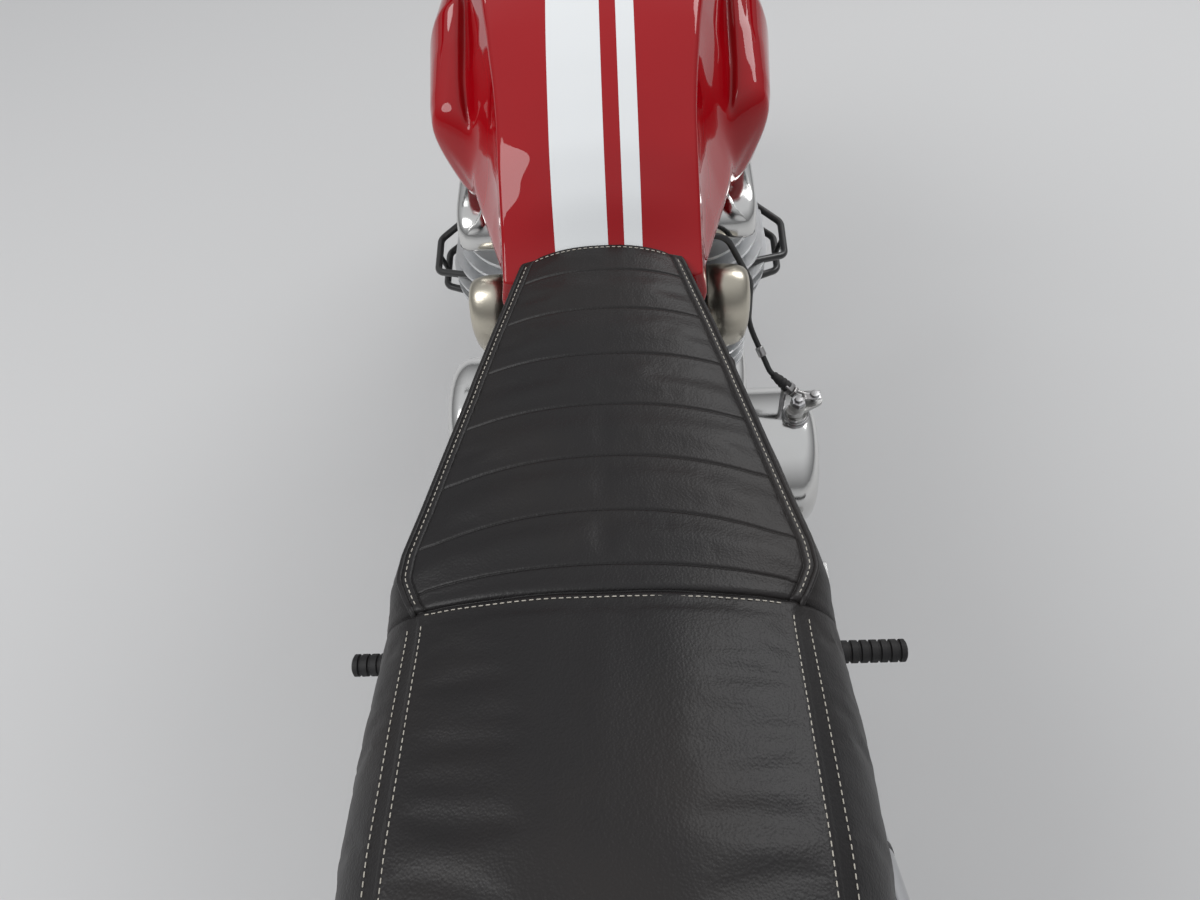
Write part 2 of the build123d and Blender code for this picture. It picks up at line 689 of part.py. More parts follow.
plate = side_plate(PLATE_EDGE, PIVOT_PLATE_Y, PIVOT_PLATE_Y + PIVOT_PLATE_T, 10)
shock_stud = across(SHOCK_TOP[0], SHOCK_TOP[1], 108, SHOCK_Y + 20, SHOCK_STUD_R)
lug_x = (SHOCK_TOP[0] - 25, SHOCK_TOP[0] + 25)
shock_lug = side_plate([(lug_x[0], 650), (lug_x[0], 712), (lug_x[1], 712), (lug_x[1], 650)], 106, 122, 8)
STAND_LUG = [(-115, 222), (-115, 256), (-50, 310), (-34, 250), (-60, 222)]
stand_lug = side_plate(STAND_LUG, UPRIGHT_Y - 14, UPRIGHT_Y + 4, 8)
left_frame = cradle + rear_loop + stay + plate + shock_stud + shock_lug + stand_lug
frame += pair(left_frame)
frame += across(-30, RAIL_Z, -RAIL_Y, RAIL_Y, 11) + across(DOWN_TUBE_X - 66, 215, -RAIL_Y, RAIL_Y, 11)
frame += across(UPRIGHT_X - 8, 640, -UPRIGHT_Y + 14, UPRIGHT_Y - 14, 12)
frame += across(REAR_AXLE_X + 95, SEAT_RAIL_Z + 7, -108, 108, 9)
pivot_end = PIVOT_PLATE_Y + PIVOT_PLATE_T + 6
frame += across(PIVOT_X, PIVOT_Z, -pivot_end, pivot_end, PIVOT_PIN_R)
frame += across(STAND_PIVOT_X, STAND_PIVOT_Z, -UPRIGHT_Y - 8, UPRIGHT_Y + 8, STAND_PIN_R)
side_axis = Vector(0, cos(radians(SIDE_STAND_TILT)), sin(radians(SIDE_STAND_TILT)))
side_pivot = Vector(SIDE_STAND_X, SIDE_STAND_Y, SIDE_STAND_Z)
frame += rod(tuple(side_pivot - side_axis * (10 + FIT)), tuple(side_pivot - side_axis * 34), 16)
lug_x = (SIDE_STAND_X - 18, SIDE_STAND_X + 18)
frame += block(lug_x, (RAIL_Y - 12, RAIL_Y + 10), (SIDE_STAND_Z - 13, RAIL_Z))
engine_lug = block((CASE_FRONT + FIT, DOWN_TUBE_X - 23), (84, 96), (285, 320))
frame += pair(engine_lug)
frame -= STEER * rod((0, 0, HEAD_BOTTOM - 1), (0, 0, HEAD_TOP + 1), HEAD_BORE_R)
save("frame", frame)

# Swingarm: cross tube at the pivot and two box arms to the rear axle
arm = side_plate(
    [
        (PIVOT_X + 20, PIVOT_Z + 12),
        (PIVOT_X + 20, PIVOT_Z - 12),
        (PIVOT_X - 30, PIVOT_Z - ARM_H / 2),
        (REAR_AXLE_X - 20, REAR_AXLE_Z - ARM_H / 2),
        (REAR_AXLE_X - 46, REAR_AXLE_Z),
        (REAR_AXLE_X - 20, REAR_AXLE_Z + ARM_H / 2),
        (PIVOT_X - 30, PIVOT_Z + ARM_H / 2),
    ],
    ARM_INNER,
    ARM_INNER + ARM_T,
    8,
)
foot_stud = across(SHOCK_FOOT[0], SHOCK_FOOT[1], ARM_INNER + ARM_T - 4, SHOCK_Y + 20, SHOCK_STUD_R)
swingarm = pair(arm + foot_stud) + across(PIVOT_X, PIVOT_Z, -ARM_INNER - ARM_T, ARM_INNER + ARM_T, 24)
swingarm += across(PIVOT_X - 180, PIVOT_Z - 11, -ARM_INNER - 4, ARM_INNER + 4, 10)
arm_outer = ARM_INNER + ARM_T
swingarm -= pair(across(BOBBIN_X, BOBBIN_Z, arm_outer - BOBBIN_DEPTH, arm_outer + 1, BOBBIN_R))
swingarm -= across(PIVOT_X, PIVOT_Z, -200, 200, PIVOT_PIN_R + FIT)
swingarm -= across(REAR_AXLE_X, REAR_AXLE_Z, -200, 200, REAR_AXLE_R + FIT)

# Twin shocks with their springs
shock_top = Vector(SHOCK_TOP[0], SHOCK_Y, SHOCK_TOP[1])
shock_foot = Vector(SHOCK_FOOT[0], SHOCK_Y, SHOCK_FOOT[1])
shock_run = shock_top - shock_foot
length = shock_run.length
damper = turned_points(
    [
        (0, 12),
        (12, 12),
        (12, 40),
        (SPRING_SEAT_R, 44),
        (SPRING_SEAT_R, 52),
        (18, 52),
        (18, 150),
        (8, 152),
        (8, length - 66),
        (SPRING_SEAT_R, length - 66),
        (SPRING_SEAT_R, length - 58),
        (22, length - 54),
        (22, length - 22),
        (12, length - 12),
        (0, length - 12),
    ]
)
eyes = rod((0, -13, 0), (0, 13, 0), 15) + rod((0, -13, length), (0, 13, length), 15)
eye_bore = rod((0, -20, 0), (0, 20, 0), SHOCK_STUD_R + FIT)
eye_bores = eye_bore + Pos(0, 0, length) * eye_bore
eye_plane = Plane(origin=shock_foot, x_dir=Vector(0, 1, 0).cross(shock_run), z_dir=shock_run)
save("shocks", pair(eye_plane * (damper + eyes - eye_bores)))
SPRING_COILS = 9
spring_low = 52 + FIT
spring_high = length - 66 - FIT
coil = (spring_high - spring_low) / SPRING_COILS
spring_points = [(19, spring_high), (19, spring_low)]
for i in range(SPRING_COILS):
    base = spring_low + i * coil
    spring_points += [(SPRING_R, base + 0.25 * coil), (SPRING_R, base + 0.6 * coil), (22, base + 0.75 * coil)]
    if i < SPRING_COILS - 1:
        spring_points += [(22, base + coil)]
spring_points += [(22, spring_high)]
save("shock_springs", pair(eye_plane * turned_points(spring_points)))

# Crankcase with its deck and sump
CASE_EDGE = [
    (CASE_REAR, 290),
    (CASE_REAR, 425),
    (40, CASE_TOP - 6),
    (320, CASE_TOP - 6),
    (CASE_FRONT, 440),
    (CASE_FRONT, 290),
    (300, 236),
    (30, 236),
]
case = side_plate(CASE_EDGE, -CASE_HALF, CASE_HALF, 12)
deck = level_plate(Pos(BORE_X, 0) * RectangleRounded(190, 290, 40), 436, CASE_TOP)
sump = level_plate(Pos(165, 0) * RectangleRounded(250, 166, 20), 182, 240)
case += deck + sump
case -= block((CASE_REAR - 10, 72), (CHAIN_Y - 20, CASE_HALF + 20), (PIVOT_Z - 62, PIVOT_Z + 62))
case += across(FRONT_SPROCKET_X, PIVOT_Z, CHAIN_Y - 21, CHAIN_Y + 8, 16)
case += across(FRONT_SPROCKET_X, PIVOT_Z, CHAIN_Y - 4, CHAIN_Y + 4, FRONT_SPROCKET_R - CHAIN_IN - FIT)
# Round covers on the case: x, z, radius, side, outer face, edge rounding
COVERS = [
    (135, 370, 96, 1, COVER_LEFT_Y, 26),
    (250, 352, 60, 1, 160, 14),
    (62, 385, 88, -1, COVER_RIGHT_Y, 24),
    (215, 350, 82, -1, 172, 18),
]
for x, z, radius, side, outer, edge in COVERS:
    case -= across(x, z, side * CASE_HALF, side * (outer + 20), radius + FIT)
case -= block((62, 250), (-150, -CASE_HALF), (425, 460))
save("crankcase", case)


# A casting of cooling fins stacked round a core
def finned(core, fin, z_from, z_to, first, pitch, count):
    body = level_plate(core, z_from, z_to)
    for i in range(count):
        low = first + i * pitch
        body += level_plate(fin, low, low + FIN_T)
    return body


bores = [Pos(BORE_X, side * BORE_HALF) * Circle(54) for side in (-1, 1)]
barrel_core = Pos(BORE_X, 0) * Rectangle(90, 120) + bores
barrel_fin = Pos(BORE_X, 0) * RectangleRounded(172, 320, 44)
save("cylinder_barrels", finned(barrel_core, barrel_fin, CASE_TOP + FIT, BARREL_TOP, CASE_TOP + 12, 16, 7))
head_core = Pos(BORE_X, 0) * RectangleRounded(150, 270, 30)
cylinder_head = level_plate(head_core, BARREL_TOP + FIT, HEAD_CAST_TOP)
# Half-widths of the head's fins, from the lowest up
HEAD_FINS = (172, 176, 176, 170, 163, 156)
HEAD_FIN_GAP = 16.5
for i, half in enumerate(HEAD_FINS):
    low = BARREL_TOP + 9 + i * HEAD_FIN_GAP
    cylinder_head += level_plate(Pos(BORE_X, 0) * RectangleRounded(206, 2 * half, 78), low, low + FIN_T)
port_from = BORE_X - 60
port_to = BORE_X + 60
exhaust_stub = rod((port_to, BORE_HALF, EXHAUST_PORT_Z), (EXHAUST_FACE_X, BORE_HALF, EXHAUST_PORT_Z), 29)
inlet_stub = rod((port_from, BORE_HALF, INLET_PORT_Z), (INLET_FACE_X, BORE_HALF, INLET_PORT_Z), INLET_STUB_R)
cylinder_head += pair(exhaust_stub + inlet_stub)
save("cylinder_head", cylinder_head)
rocker = Plane.XY.offset(HEAD_CAST_TOP + FIT) * Pos(BORE_X, 0) * RectangleRounded(190, 304, 40)
save("rocker_cover", extrude(rocker, ROCKER_TOP - HEAD_CAST_TOP - FIT, taper=14))


# Engine side covers
def cover(x, z, radius, y_from, y_to, edge):
    body = across(x, z, y_from, y_to, radius)
    outer = body.faces().sort_by(Axis.Y)[-1 if y_to > y_from else 0]
    return fillet(outer.edges(), edge)


left_cover = Part()
right_cover = Part()
for x, z, radius, side, outer, edge in COVERS:
    dome = cover(x, z, radius, side * (CASE_HALF + FIT), side * outer, edge)
    if side > 0:
        left_cover += dome
    else:
        right_cover += dome
SPROCKET_COVER = [(-60, 322), (-66, 372), (-60, 430), (-20, 445), (36, 430), (34, 320), (-20, 300)]
sprocket_cover = side_plate(SPROCKET_COVER, CASE_HALF + FIT, 136, 12)
alternator_x, alternator_z, alternator_r = COVERS[0][:3]
sprocket_cover -= across(alternator_x, alternator_z, 100, 240, alternator_r + 2)
upright_gap = RAIL_R + 2
gap_x = (UPRIGHT_X - upright_gap, UPRIGHT_X + upright_gap)
sprocket_cover -= block(gap_x, (UPRIGHT_Y - upright_gap, 150), (200, 500))
save("left_engine_cover", left_cover + sprocket_cover)
right_cover += side_plate([(62, 455), (250, 425), (250, 280), (62, 310)], -150, -CASE_HALF - FIT, 10)
CLUTCH_PIVOT = (57, -212)
right_cover += upright(*CLUTCH_PIVOT, 440, 481, 13)
save("right_engine_cover", right_cover)
arm_plate = Pos(CLUTCH_PIVOT[0] + 4, CLUTCH_PIVOT[1] - 9) * Rot(0, 0, -62) * SlotOverall(48, 16)
clutch_arm = level_plate(arm_plate, 486, 491) + upright(*CLUTCH_PIVOT, 481 + FIT, 498, 9)
save("clutch_arm", clutch_arm)

# Throttle bodies behind the head with domed side covers
throttle = rod((INLET_FACE_X - FIT, BORE_HALF, INLET_PORT_Z), (-40, BORE_HALF, INLET_PORT_Z), 25)
DOME_EDGE = [
    (44, 688),
    (60, 704),
    (82, 702),
    (96, 684),
    (99, 655),
    (91, 618),
    (74, 592),
    (58, 600),
    (42, 632),
    (36, 662),
]
dome = side_plate(DOME_EDGE, BORE_HALF, 142, 6)
dome = fillet(dome.faces().sort_by(Axis.Y)[-1].edges(), 11)
# Room for the head's inlet stub beside the dome
stub_room = INLET_STUB_R + FIT
stub_z = (INLET_PORT_Z - stub_room, INLET_PORT_Z + stub_room)
dome -= block((INLET_FACE_X - FIT, BORE_X), (BORE_HALF - stub_room, BORE_HALF + stub_room), stub_z)
save("throttle_bodies", pair(throttle + dome))

# Air box and battery box under the seat
AIRBOX_FRONT = -40 - FIT
AIRBOX_HALF = 88
AIRBOX_EDGE = [
    (AIRBOX_FRONT, 600),
    (AIRBOX_FRONT, 690),
    (-90, 698),
    (-300, 690),
    (-300, 500),
    (-140, 480),
    (-110, 500),
    (-75, 590),
]
airbox = side_plate(AIRBOX_EDGE, -AIRBOX_HALF, AIRBOX_HALF, 10)
airbox -= frame
save("airbox", airbox)

# Side panels held on two studs each from the air box
PANEL_Y = 136
PANEL_EDGE = [(-192, 672), (-330, 688), (-312, 560), (-268, 522), (-204, 522), (-186, 600)]
PANEL_STUDS = ((-215, 535), (-286, 655))
panel = side_plate(PANEL_EDGE, PANEL_Y, PANEL_Y + 12, 16)
panel_edge = panel.faces().sort_by(Axis.Y)[-1]
panel = fillet(panel_edge.edges(), 7)
for x, z in PANEL_STUDS:
    panel += across(x, z, AIRBOX_HALF + FIT, PANEL_Y + 2, 8)
save("side_panels", pair(panel))

# Oil cooler between the down tubes
COOLER_X = DOWN_TUBE_X + 52
cooler = Pos(COOLER_X, 0, 610) * Box(26, 150, 84)
for i in range(6):
    cooler += Pos(COOLER_X, 0, 574 + i * 14.4) * Box(34, 142, 3)
cooler += rod((COOLER_X, 60, 650), (COOLER_X, 40, 690), 6)
save("oil_cooler", cooler)

# Exhaust: two headers swept under the engine and two upswept silencers
silencer_run = Vector(*SILENCER_END) - Vector(*SILENCER_START)
silencer_dir = silencer_run.normalized()
header = tube(
    [
        (EXHAUST_FACE_X + FIT, BORE_HALF, EXHAUST_PORT_Z),
        (376, BORE_HALF, EXHAUST_PORT_Z),
        (414, 146, 575),
        (412, 150, 440),
        (386, 154, 262),
        (322, 168, 222),
        tuple(Vector(*SILENCER_START) - silencer_dir * 88),
        SILENCER_START,
    ],
    HEADER_R,
    [24, 45, 120, 50, 45, 200],
)
save("exhaust_pipes", pair(header))
silencer_length = silencer_run.length
silencer_axis = Plane(origin=Vector(*SILENCER_START) + silencer_dir * FIT, z_dir=silencer_dir)
silencer = turned_points(
    [
        (0, 0),
        (24, 0),
        (26, 40),
        (44, 150),
        (SILENCER_R, 230),
        (SILENCER_R, silencer_length - 50),
        (36, silencer_length),
        (25, silencer_length),
        (25, silencer_length - 90),
        (0, silencer_length - 90),
    ]
)
save("silencers", pair(silencer_axis * silencer))

# Fuel tank: a core with a sharp crease above each knee recess, and a flared lobe ahead of each knee
def tank_plane(share):
    x = TANK_REAR + share * (TANK_FRONT - TANK_REAR)
    return Plane(origin=(x, 0, TANK_BOTTOM), x_dir=(0, 1, 0), z_dir=(1, 0, 0))


def core_section(share, crease_half, crease_h, crown, low_half, low_h, foot_half):
    arch = ThreePointArc((-crease_half, crease_h), (0, crease_h + crown), (crease_half, crease_h))
    left = Polyline((crease_half, crease_h), (low_half, low_h), (foot_half, 0))
    right = Polyline((-foot_half, 0), (-low_half, low_h), (-crease_half, crease_h))
    return tank_plane(share) * make_face(arch + left + Line((foot_half, 0), (-foot_half, 0)) + right)


# How far a lobe reaches into the core
LOBE_ROOT = 36


def lobe_section(share, inner, inner_h, top, top_h, outer, outer_h, low, low_h):
    arch = ThreePointArc((inner, inner_h), (top, top_h), (outer, outer_h))
    root = (inner - LOBE_ROOT / 2, inner_h - LOBE_ROOT)
    below = Polyline((outer, outer_h), (low, low_h), (low - LOBE_ROOT, low_h), root, (inner, inner_h))
    return tank_plane(share) * make_face(arch + below)


# Share of the tank's length, half-width and height of the crease, crown above it,
# half-width and height of the recess's lower edge, half-width of the foot
CORE_ROWS = [
    (0, 84, 42, 5, 88, 20, 84),
    (0.088, 83, 79, 14, 92, 27, 88),
    (0.157, 82, 110, 13, 101, 33, 96),
    (0.31, 84, 153, 12, 120, 36, 113),
    (0.449, 91, 179, 9, 142, 48, 140),
    (0.634, 104, 187, 14, 160, 54, 152),
    (0.773, 106, 184, 19, 164, 54, 150),
    (0.935, 68, 170, 20, 118, 54, 104),
    (1, 28, 151, 12, 58, 58, 50),
]
# Share of the tank's length, then half-width and height of the lip, the lobe's top,
# its outer side and its low edge
LOBE_ROWS = [
    (0.375, 126, 90, 143, 90, 150, 74, 148, 46),
    (0.449, 128, 114, 147, 110, 157, 90, 156, 51),
    (0.634, 133, 148, 157, 124, 169, 96, 169, 54),
    (0.773, 132, 145, 150, 117, 162, 92, 161, 54),
    (0.904, 82, 124, 100, 106, 113, 84, 111, 56),
]
tank = loft([core_section(*row) for row in CORE_ROWS])
lobe = loft([lobe_section(*row) for row in LOBE_ROWS])
tank += pair(lobe)
# The tunnel over the backbone: full height from TUNNEL_START forward, low and sloping behind it
tunnel_x = (TUNNEL_START, TANK_FRONT + 20)
tunnel_floor = TANK_BOTTOM - 10
tunnel_mid = TUNNEL_TOP - TUNNEL_HALF
tunnel = block(tunnel_x, (-TUNNEL_HALF, TUNNEL_HALF), (tunnel_floor, tunnel_mid))
tunnel += rod((tunnel_x[0], 0, tunnel_mid), (tunnel_x[1], 0, tunnel_mid), TUNNEL_HALF)
tunnel_tail = [
    (TANK_REAR - 20, tunnel_floor),
    (TANK_REAR - 20, TANK_BOTTOM + 23),
    (TUNNEL_START + 1, TANK_BOTTOM + 46),
    (TUNNEL_START + 1, tunnel_floor),
]
tank -= tunnel + side_plate(tunnel_tail, -TUNNEL_HALF, TUNNEL_HALF)
tank += upright(CAP_X, 0, NECK_TOP - 34, NECK_TOP, CAP_R + 4)
tank -= upright(CAP_X, 0, NECK_TOP - NECK_DEPTH, NECK_TOP + 1, NECK_R)
HINGE_X = CAP_X + CAP_R + 9
HINGE_Z = NECK_TOP + 8
HINGE_PIN_R = 2.5
tank += pair(block((HINGE_X - 5, HINGE_X + 5), (9, 13), (NECK_TOP - 26, HINGE_Z + 4)))
tank += across(HINGE_X, HINGE_Z, -12, 12, HINGE_PIN_R)
save("fuel_tank", tank)

# Hinged filler cap
cap = upright(CAP_X, 0, NECK_TOP + FIT, NECK_TOP + 11, CAP_R)
cap = fillet(cap.edges().sort_by(Axis.Z)[-1], 4)
cap += block((CAP_X + CAP_R - 8, HINGE_X), (-8, 8), (NECK_TOP + 3, NECK_TOP + 10))
cap += across(HINGE_X, HINGE_Z, -8, 8, 5)
save("fuel_cap", cap - across(HINGE_X, HINGE_Z, -20, 20, HINGE_PIN_R + FIT))


# Seat: a narrow nose widening to the passenger pad
def seat_section(x, top_half, top_z, crown, low_half, low_z):
    arch = ThreePointArc((-top_half, top_z), (0, top_z + crown), (top_half, top_z))
    sides = Polyline((top_half, top_z), (low_half, low_z), (-low_half, low_z), (-top_half, top_z))
    return Plane(origin=(x, 0, 0), x_dir=(0, 1, 0), z_dir=(1, 0, 0)) * make_face(arch + sides)


SEAT_NOSE = -15
# x, half-width and height of the top edge, crown, half-width and height of the lower edge
SEAT_ROWS = [
    (SEAT_NOSE, 62, 806, 14, 78, 770),
    (-89, 87, 797, 17, 96, 757),
    (-190, 113, 792, 19, 122, 748),
    (-300, 135, 797, 20, 150, 742),
    (-365, 123, 806, 19, 159, 742),
    (-480, 119, 826, 18, 164, 742),
    (-620, 113, 835, 13, 142, 752),
    (-672, 86, 826, 8, 104, 764),
]
seat = loft([seat_section(*row) for row in SEAT_ROWS]) - frame - tank
save("seat", seat)
SEAT_FLOOR = SEAT_RAIL_Z + SUBFRAME_R + FIT
base_edge = [(TANK_REAR - FIT, 66), (-150, 92), (SEAT_SEAM_X, 128), (-480, 138), (-640, 120), (-655, 90)]
base = level_plate(
    outline(base_edge + [(x, -y) for x, y in reversed(base_edge)]),
    SEAT_FLOOR,
    764,
)
base -= seat + frame
save("seat_base", base)

# Rear mudguard, tail lamp and blank plate holder
REAR_GUARD_R = REAR_TYRE_R + 34
rear_guard = REAR_WHEEL * guard(REAR_GUARD_R, 78, 3, 22, 74, 148)


def at_rear(angle, radius):
    return (REAR_AXLE_X + radius * cos(radians(angle)), 0, REAR_AXLE_Z + radius * sin(radians(angle)))


lamp_seat = at_rear(126, REAR_GUARD_R + FIT)
tail_axis = Plane(origin=(lamp_seat[0] - 8, 0, lamp_seat[2] + 34), z_dir=(-1, 0, 0.15))
tail_body = tail_axis * turned_points([(0, -30), (24, -26), (42, 10), (0, 10)])
tail_body += rod(lamp_seat, (lamp_seat[0] - 4, 0, lamp_seat[2] + 20), 12)
tail_body -= REAR_WHEEL * Cylinder(REAR_GUARD_R + FIT, 200)
tail_lens = tail_axis * turned_points([(0, 10 + FIT), (41, 10 + FIT), (39, 24), (0, 30)])
rear_bar = at_rear(138, REAR_GUARD_R + 10)
rear_ind = indicator(rear_bar[0], 135, rear_bar[2], 0, -1)
rear_lens = indicator_lens(rear_bar[0], 135, rear_bar[2], -1)
rear_bodies = pair(rear_ind) - REAR_WHEEL * Cylinder(REAR_GUARD_R + FIT, 200)
save("rear_lamps", tail_body + tail_lens + rear_bodies + pair(rear_lens))
PLATE_X = REAR_AXLE_X - 383
plate_axis = Plane(origin=(PLATE_X, 0, 495), x_dir=(0, 1, 0), z_dir=(-1, 0, 0.32))
holder = plate_axis * Pos(0, 0, -3) * Box(180, 140, 3)
holder += rod((PLATE_X + 5, 0, 505), at_rear(144, REAR_GUARD_R - 2), 9)
holder -= REAR_WHEEL * Cylinder(REAR_GUARD_R - 2, 60)
save("rear_mudguard", rear_guard + holder)

# Footrest hangers, pegs and pedals
HANGER_EDGE = [(-70, 345), (-90, 400), (-130, 400), (-205, 372), (-205, 335), (-130, 330)]
hanger = side_plate(HANGER_EDGE, PIVOT_PLATE_Y + PIVOT_PLATE_T + FIT, 168, 8)
hanger += across(-190, 352, 160, 214, 13)
hanger -= across(PIVOT_X, PIVOT_Z, 150, 170, PIVOT_PIN_R + 1)
peg_points = [(0, 0), (8, 0), (8, 8), (13, 9)]
for i in range(8):
    peg_points += [(13, 16 + i * 11), (11, 17 + i * 11), (11, 19 + i * 11), (13, 20 + i * 11)]
peg_points += [(13, 102), (10, 104), (0, 104)]
peg = Plane(origin=(-190, 214 + FIT, 352), z_dir=(0, 1, 0)) * turned_points(peg_points)
save("rider_footpegs", pair(peg))
PILLION_EDGE = [(-300, 470), (-300, 500), (-345, 470), (-372, 440), (-372, 412), (-345, 412)]
pillion = side_plate(PILLION_EDGE, 122, 134, 6)
pillion += rod((-355, 128, 428), (-355, 208, 428), 9) + rod((-300, 124, 490), (-300, 112, 600), 7)
pillion += rod((-355, 206, 428), (-355, 224, 428), 13)
save("footrest_hangers", pair(hanger) + pair(pillion))
lever = rod((-190, 176, 322), (-92, 200, 330), 6) + across(-190, 322, 168 + FIT, 184, 10)
gear_peg = across(-84, 332, 196, 262, 8)
brake_pad = side_plate([(-102, 326), (-102, 338), (-66, 338), (-66, 326)], -250, -194, 3)
save("foot_pedals", pair(lever) + gear_peg + brake_pad)

# Drive chain loop and its guard
chain_y = (CHAIN_Y - CHAIN_HALF, CHAIN_Y + CHAIN_HALF)
sprocket_centres = (
    (FRONT_SPROCKET_X, PIVOT_Z, FRONT_SPROCKET_R),
    (REAR_AXLE_X, REAR_AXLE_Z, REAR_SPROCKET_R),
)


def chain_loop(offset):
    circles = [Pos(x, z) * Circle(r + offset) for x, z, r in sprocket_centres]
    return make_hull([edge for circle in circles for edge in circle.edges()])


chain_face = chain_loop(CHAIN_OUT) - chain_loop(-CHAIN_IN)
save("chain", extrude(Plane.XZ.offset(-chain_y[1]) * chain_face, 2 * CHAIN_HALF))
GUARD_TOP = [(-180, 462), (-560, 478), (-640, 476), (-700, 464)]
GUARD_ROOF_UNDER = [(-700, 452), (-640, 464), (-560, 465), (-180, 446)]
GUARD_WALL_UNDER = [(-700, 430), (-640, 440), (-560, 444), (-180, 430)]
chain_guard = side_plate(GUARD_TOP + GUARD_ROOF_UNDER, CHAIN_Y - 12, CHAIN_Y + 26, 3)
chain_guard += side_plate(GUARD_TOP + GUARD_WALL_UNDER, CHAIN_Y + 22, CHAIN_Y + 26, 3)
chain_guard += rod((-300, CHAIN_Y + 22, 455), (-300, ARM_INNER + 8, 360 + ARM_H / 2 + 1), 5)
save("swingarm", swingarm + chain_guard + rear_axle)

# Rear caliper under the right arm
rear_caliper = Pos(104, 0, 0) * Box(62, 80, 36) - Pos(92, 0, 0) * Box(56, 92, 14)
rear_caliper = Pos(0, 0, REAR_HUB_RIGHT - REAR_DISC_T / 2 - FIT - 1) * Rot(0, 0, 60) * rear_caliper
save("rear_caliper", REAR_WHEEL * rear_caliper)

# Wire guards beside the head
guard_wire = tube([(146, 152, 640), (168, 196, 628), (222, 198, 628), (262, 152, 640)], 4, 12)
guard_wire += tube([(146, 150, 612), (168, 190, 606), (222, 192, 606), (262, 150, 612)], 4, 12)
guard_wire += rod((195, 197, 628), (195, 191, 606), 3)
save("knee_guards", pair(guard_wire) - cylinder_head)

# Clutch cable from under the tank to the arm on the right cover
cable_points = [
    (430, -28, 804),
    (90, -28, 776),
    (76, -29, 736),
    (100, -118, 722),
    (106, -150, 650),
    (130, -157, 560),
    (89, -181, 520),
    (76, -204, 503),
]
cable = tube(cable_points, 3.2, [16, 20, 30, 60, 30, 20])
save("clutch_cable", cable)

# Centre stand, feet on the floor
leg_points = [
    (STAND_PIVOT_X, 84, STAND_PIVOT_Z),
    (STAND_PIVOT_X + 8, 92, STAND_PIVOT_Z - 40),
    (STAND_FOOT_X, STAND_HALF, 6),
]
stand_leg = tube(leg_points, STAND_TUBE_R, 20)
stand_leg += across(STAND_PIVOT_X, STAND_PIVOT_Z, 70, UPRIGHT_Y - 15, 16)
stand_foot = level_plate(Pos(STAND_FOOT_X - 6, STAND_HALF) * RectangleRounded(74, 38, 10), 0, 8)
centre_stand = pair(stand_leg + stand_foot)
centre_stand += across(-74, 140, -118, 118, STAND_TUBE_R - 2)
tang_points = [(STAND_FOOT_X, STAND_HALF, 14), (STAND_FOOT_X - 10, 182, 20), (STAND_FOOT_X - 30, 206, 32)]
centre_stand += tube(tang_points, 6, 15)
centre_stand += level_plate(Pos(STAND_FOOT_X - 31, 208) * RectangleRounded(24, 34, 6), 31, 36)
centre_stand -= across(STAND_PIVOT_X, STAND_PIVOT_Z, -140, 140, STAND_PIN_R + FIT)
save("centre_stand", centre_stand)

# Side stand, folded back along the left rail on a pivot tilted outwards
side_tip = side_pivot - Vector(SIDE_STAND_LENGTH, 0, 0)
head = rod(tuple(side_pivot - side_axis * 10), tuple(side_pivot + side_axis * 10), 14)
leg = rod(tuple(side_pivot), tuple(side_tip), 9)
foot = Plane(origin=side_tip, x_dir=side_axis, z_dir=(1, 0, 0)) * Box(34, 30, 8)
save("side_stand", head + leg + foot)
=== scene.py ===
from math import cos, exp, pi, radians, sin

import bpy
import numpy as np
from mathutils import Matrix, Vector, noise


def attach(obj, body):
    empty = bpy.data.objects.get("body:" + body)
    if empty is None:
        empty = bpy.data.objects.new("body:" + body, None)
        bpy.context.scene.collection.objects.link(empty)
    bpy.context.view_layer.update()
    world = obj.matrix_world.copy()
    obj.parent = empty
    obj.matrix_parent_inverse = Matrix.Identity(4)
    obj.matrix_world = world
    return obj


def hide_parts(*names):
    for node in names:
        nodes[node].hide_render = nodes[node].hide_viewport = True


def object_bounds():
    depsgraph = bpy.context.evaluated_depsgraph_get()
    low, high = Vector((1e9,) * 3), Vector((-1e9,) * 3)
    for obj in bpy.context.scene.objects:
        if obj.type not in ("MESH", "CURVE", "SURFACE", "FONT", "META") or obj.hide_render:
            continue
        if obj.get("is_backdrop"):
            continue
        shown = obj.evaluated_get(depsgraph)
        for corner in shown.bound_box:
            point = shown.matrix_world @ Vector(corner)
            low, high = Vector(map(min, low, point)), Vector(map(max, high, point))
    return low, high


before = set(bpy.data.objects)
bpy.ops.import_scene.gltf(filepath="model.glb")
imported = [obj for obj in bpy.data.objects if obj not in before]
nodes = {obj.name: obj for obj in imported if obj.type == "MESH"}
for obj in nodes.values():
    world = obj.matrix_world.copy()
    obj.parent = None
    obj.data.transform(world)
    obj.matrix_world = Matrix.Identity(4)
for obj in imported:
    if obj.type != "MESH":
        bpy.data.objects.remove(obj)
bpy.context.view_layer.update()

# The studio: a plain pale floor that runs off to a pale surround, two large soft lamps overhead and an
# even fill from all round, so that colours come out about as they are written.
def primitive(add, name, **given):
    bpy.ops.object.select_all(action="DESELECT")
    add(**given)
    piece = bpy.context.object
    piece.name = name
    bpy.ops.object.transform_apply(location=True, rotation=True, scale=True)
    return piece


def new_node(tree, kind, values=None, **settings):
    node = tree.nodes.new("ShaderNode" + kind)
    for name, value in settings.items():
        setattr(node, name, value)
    for name, value in (values or {}).items():
        node.inputs[name].default_value = value
    return node


def join(tree, *links):
    for source, target in links:
        tree.links.new(source, target)


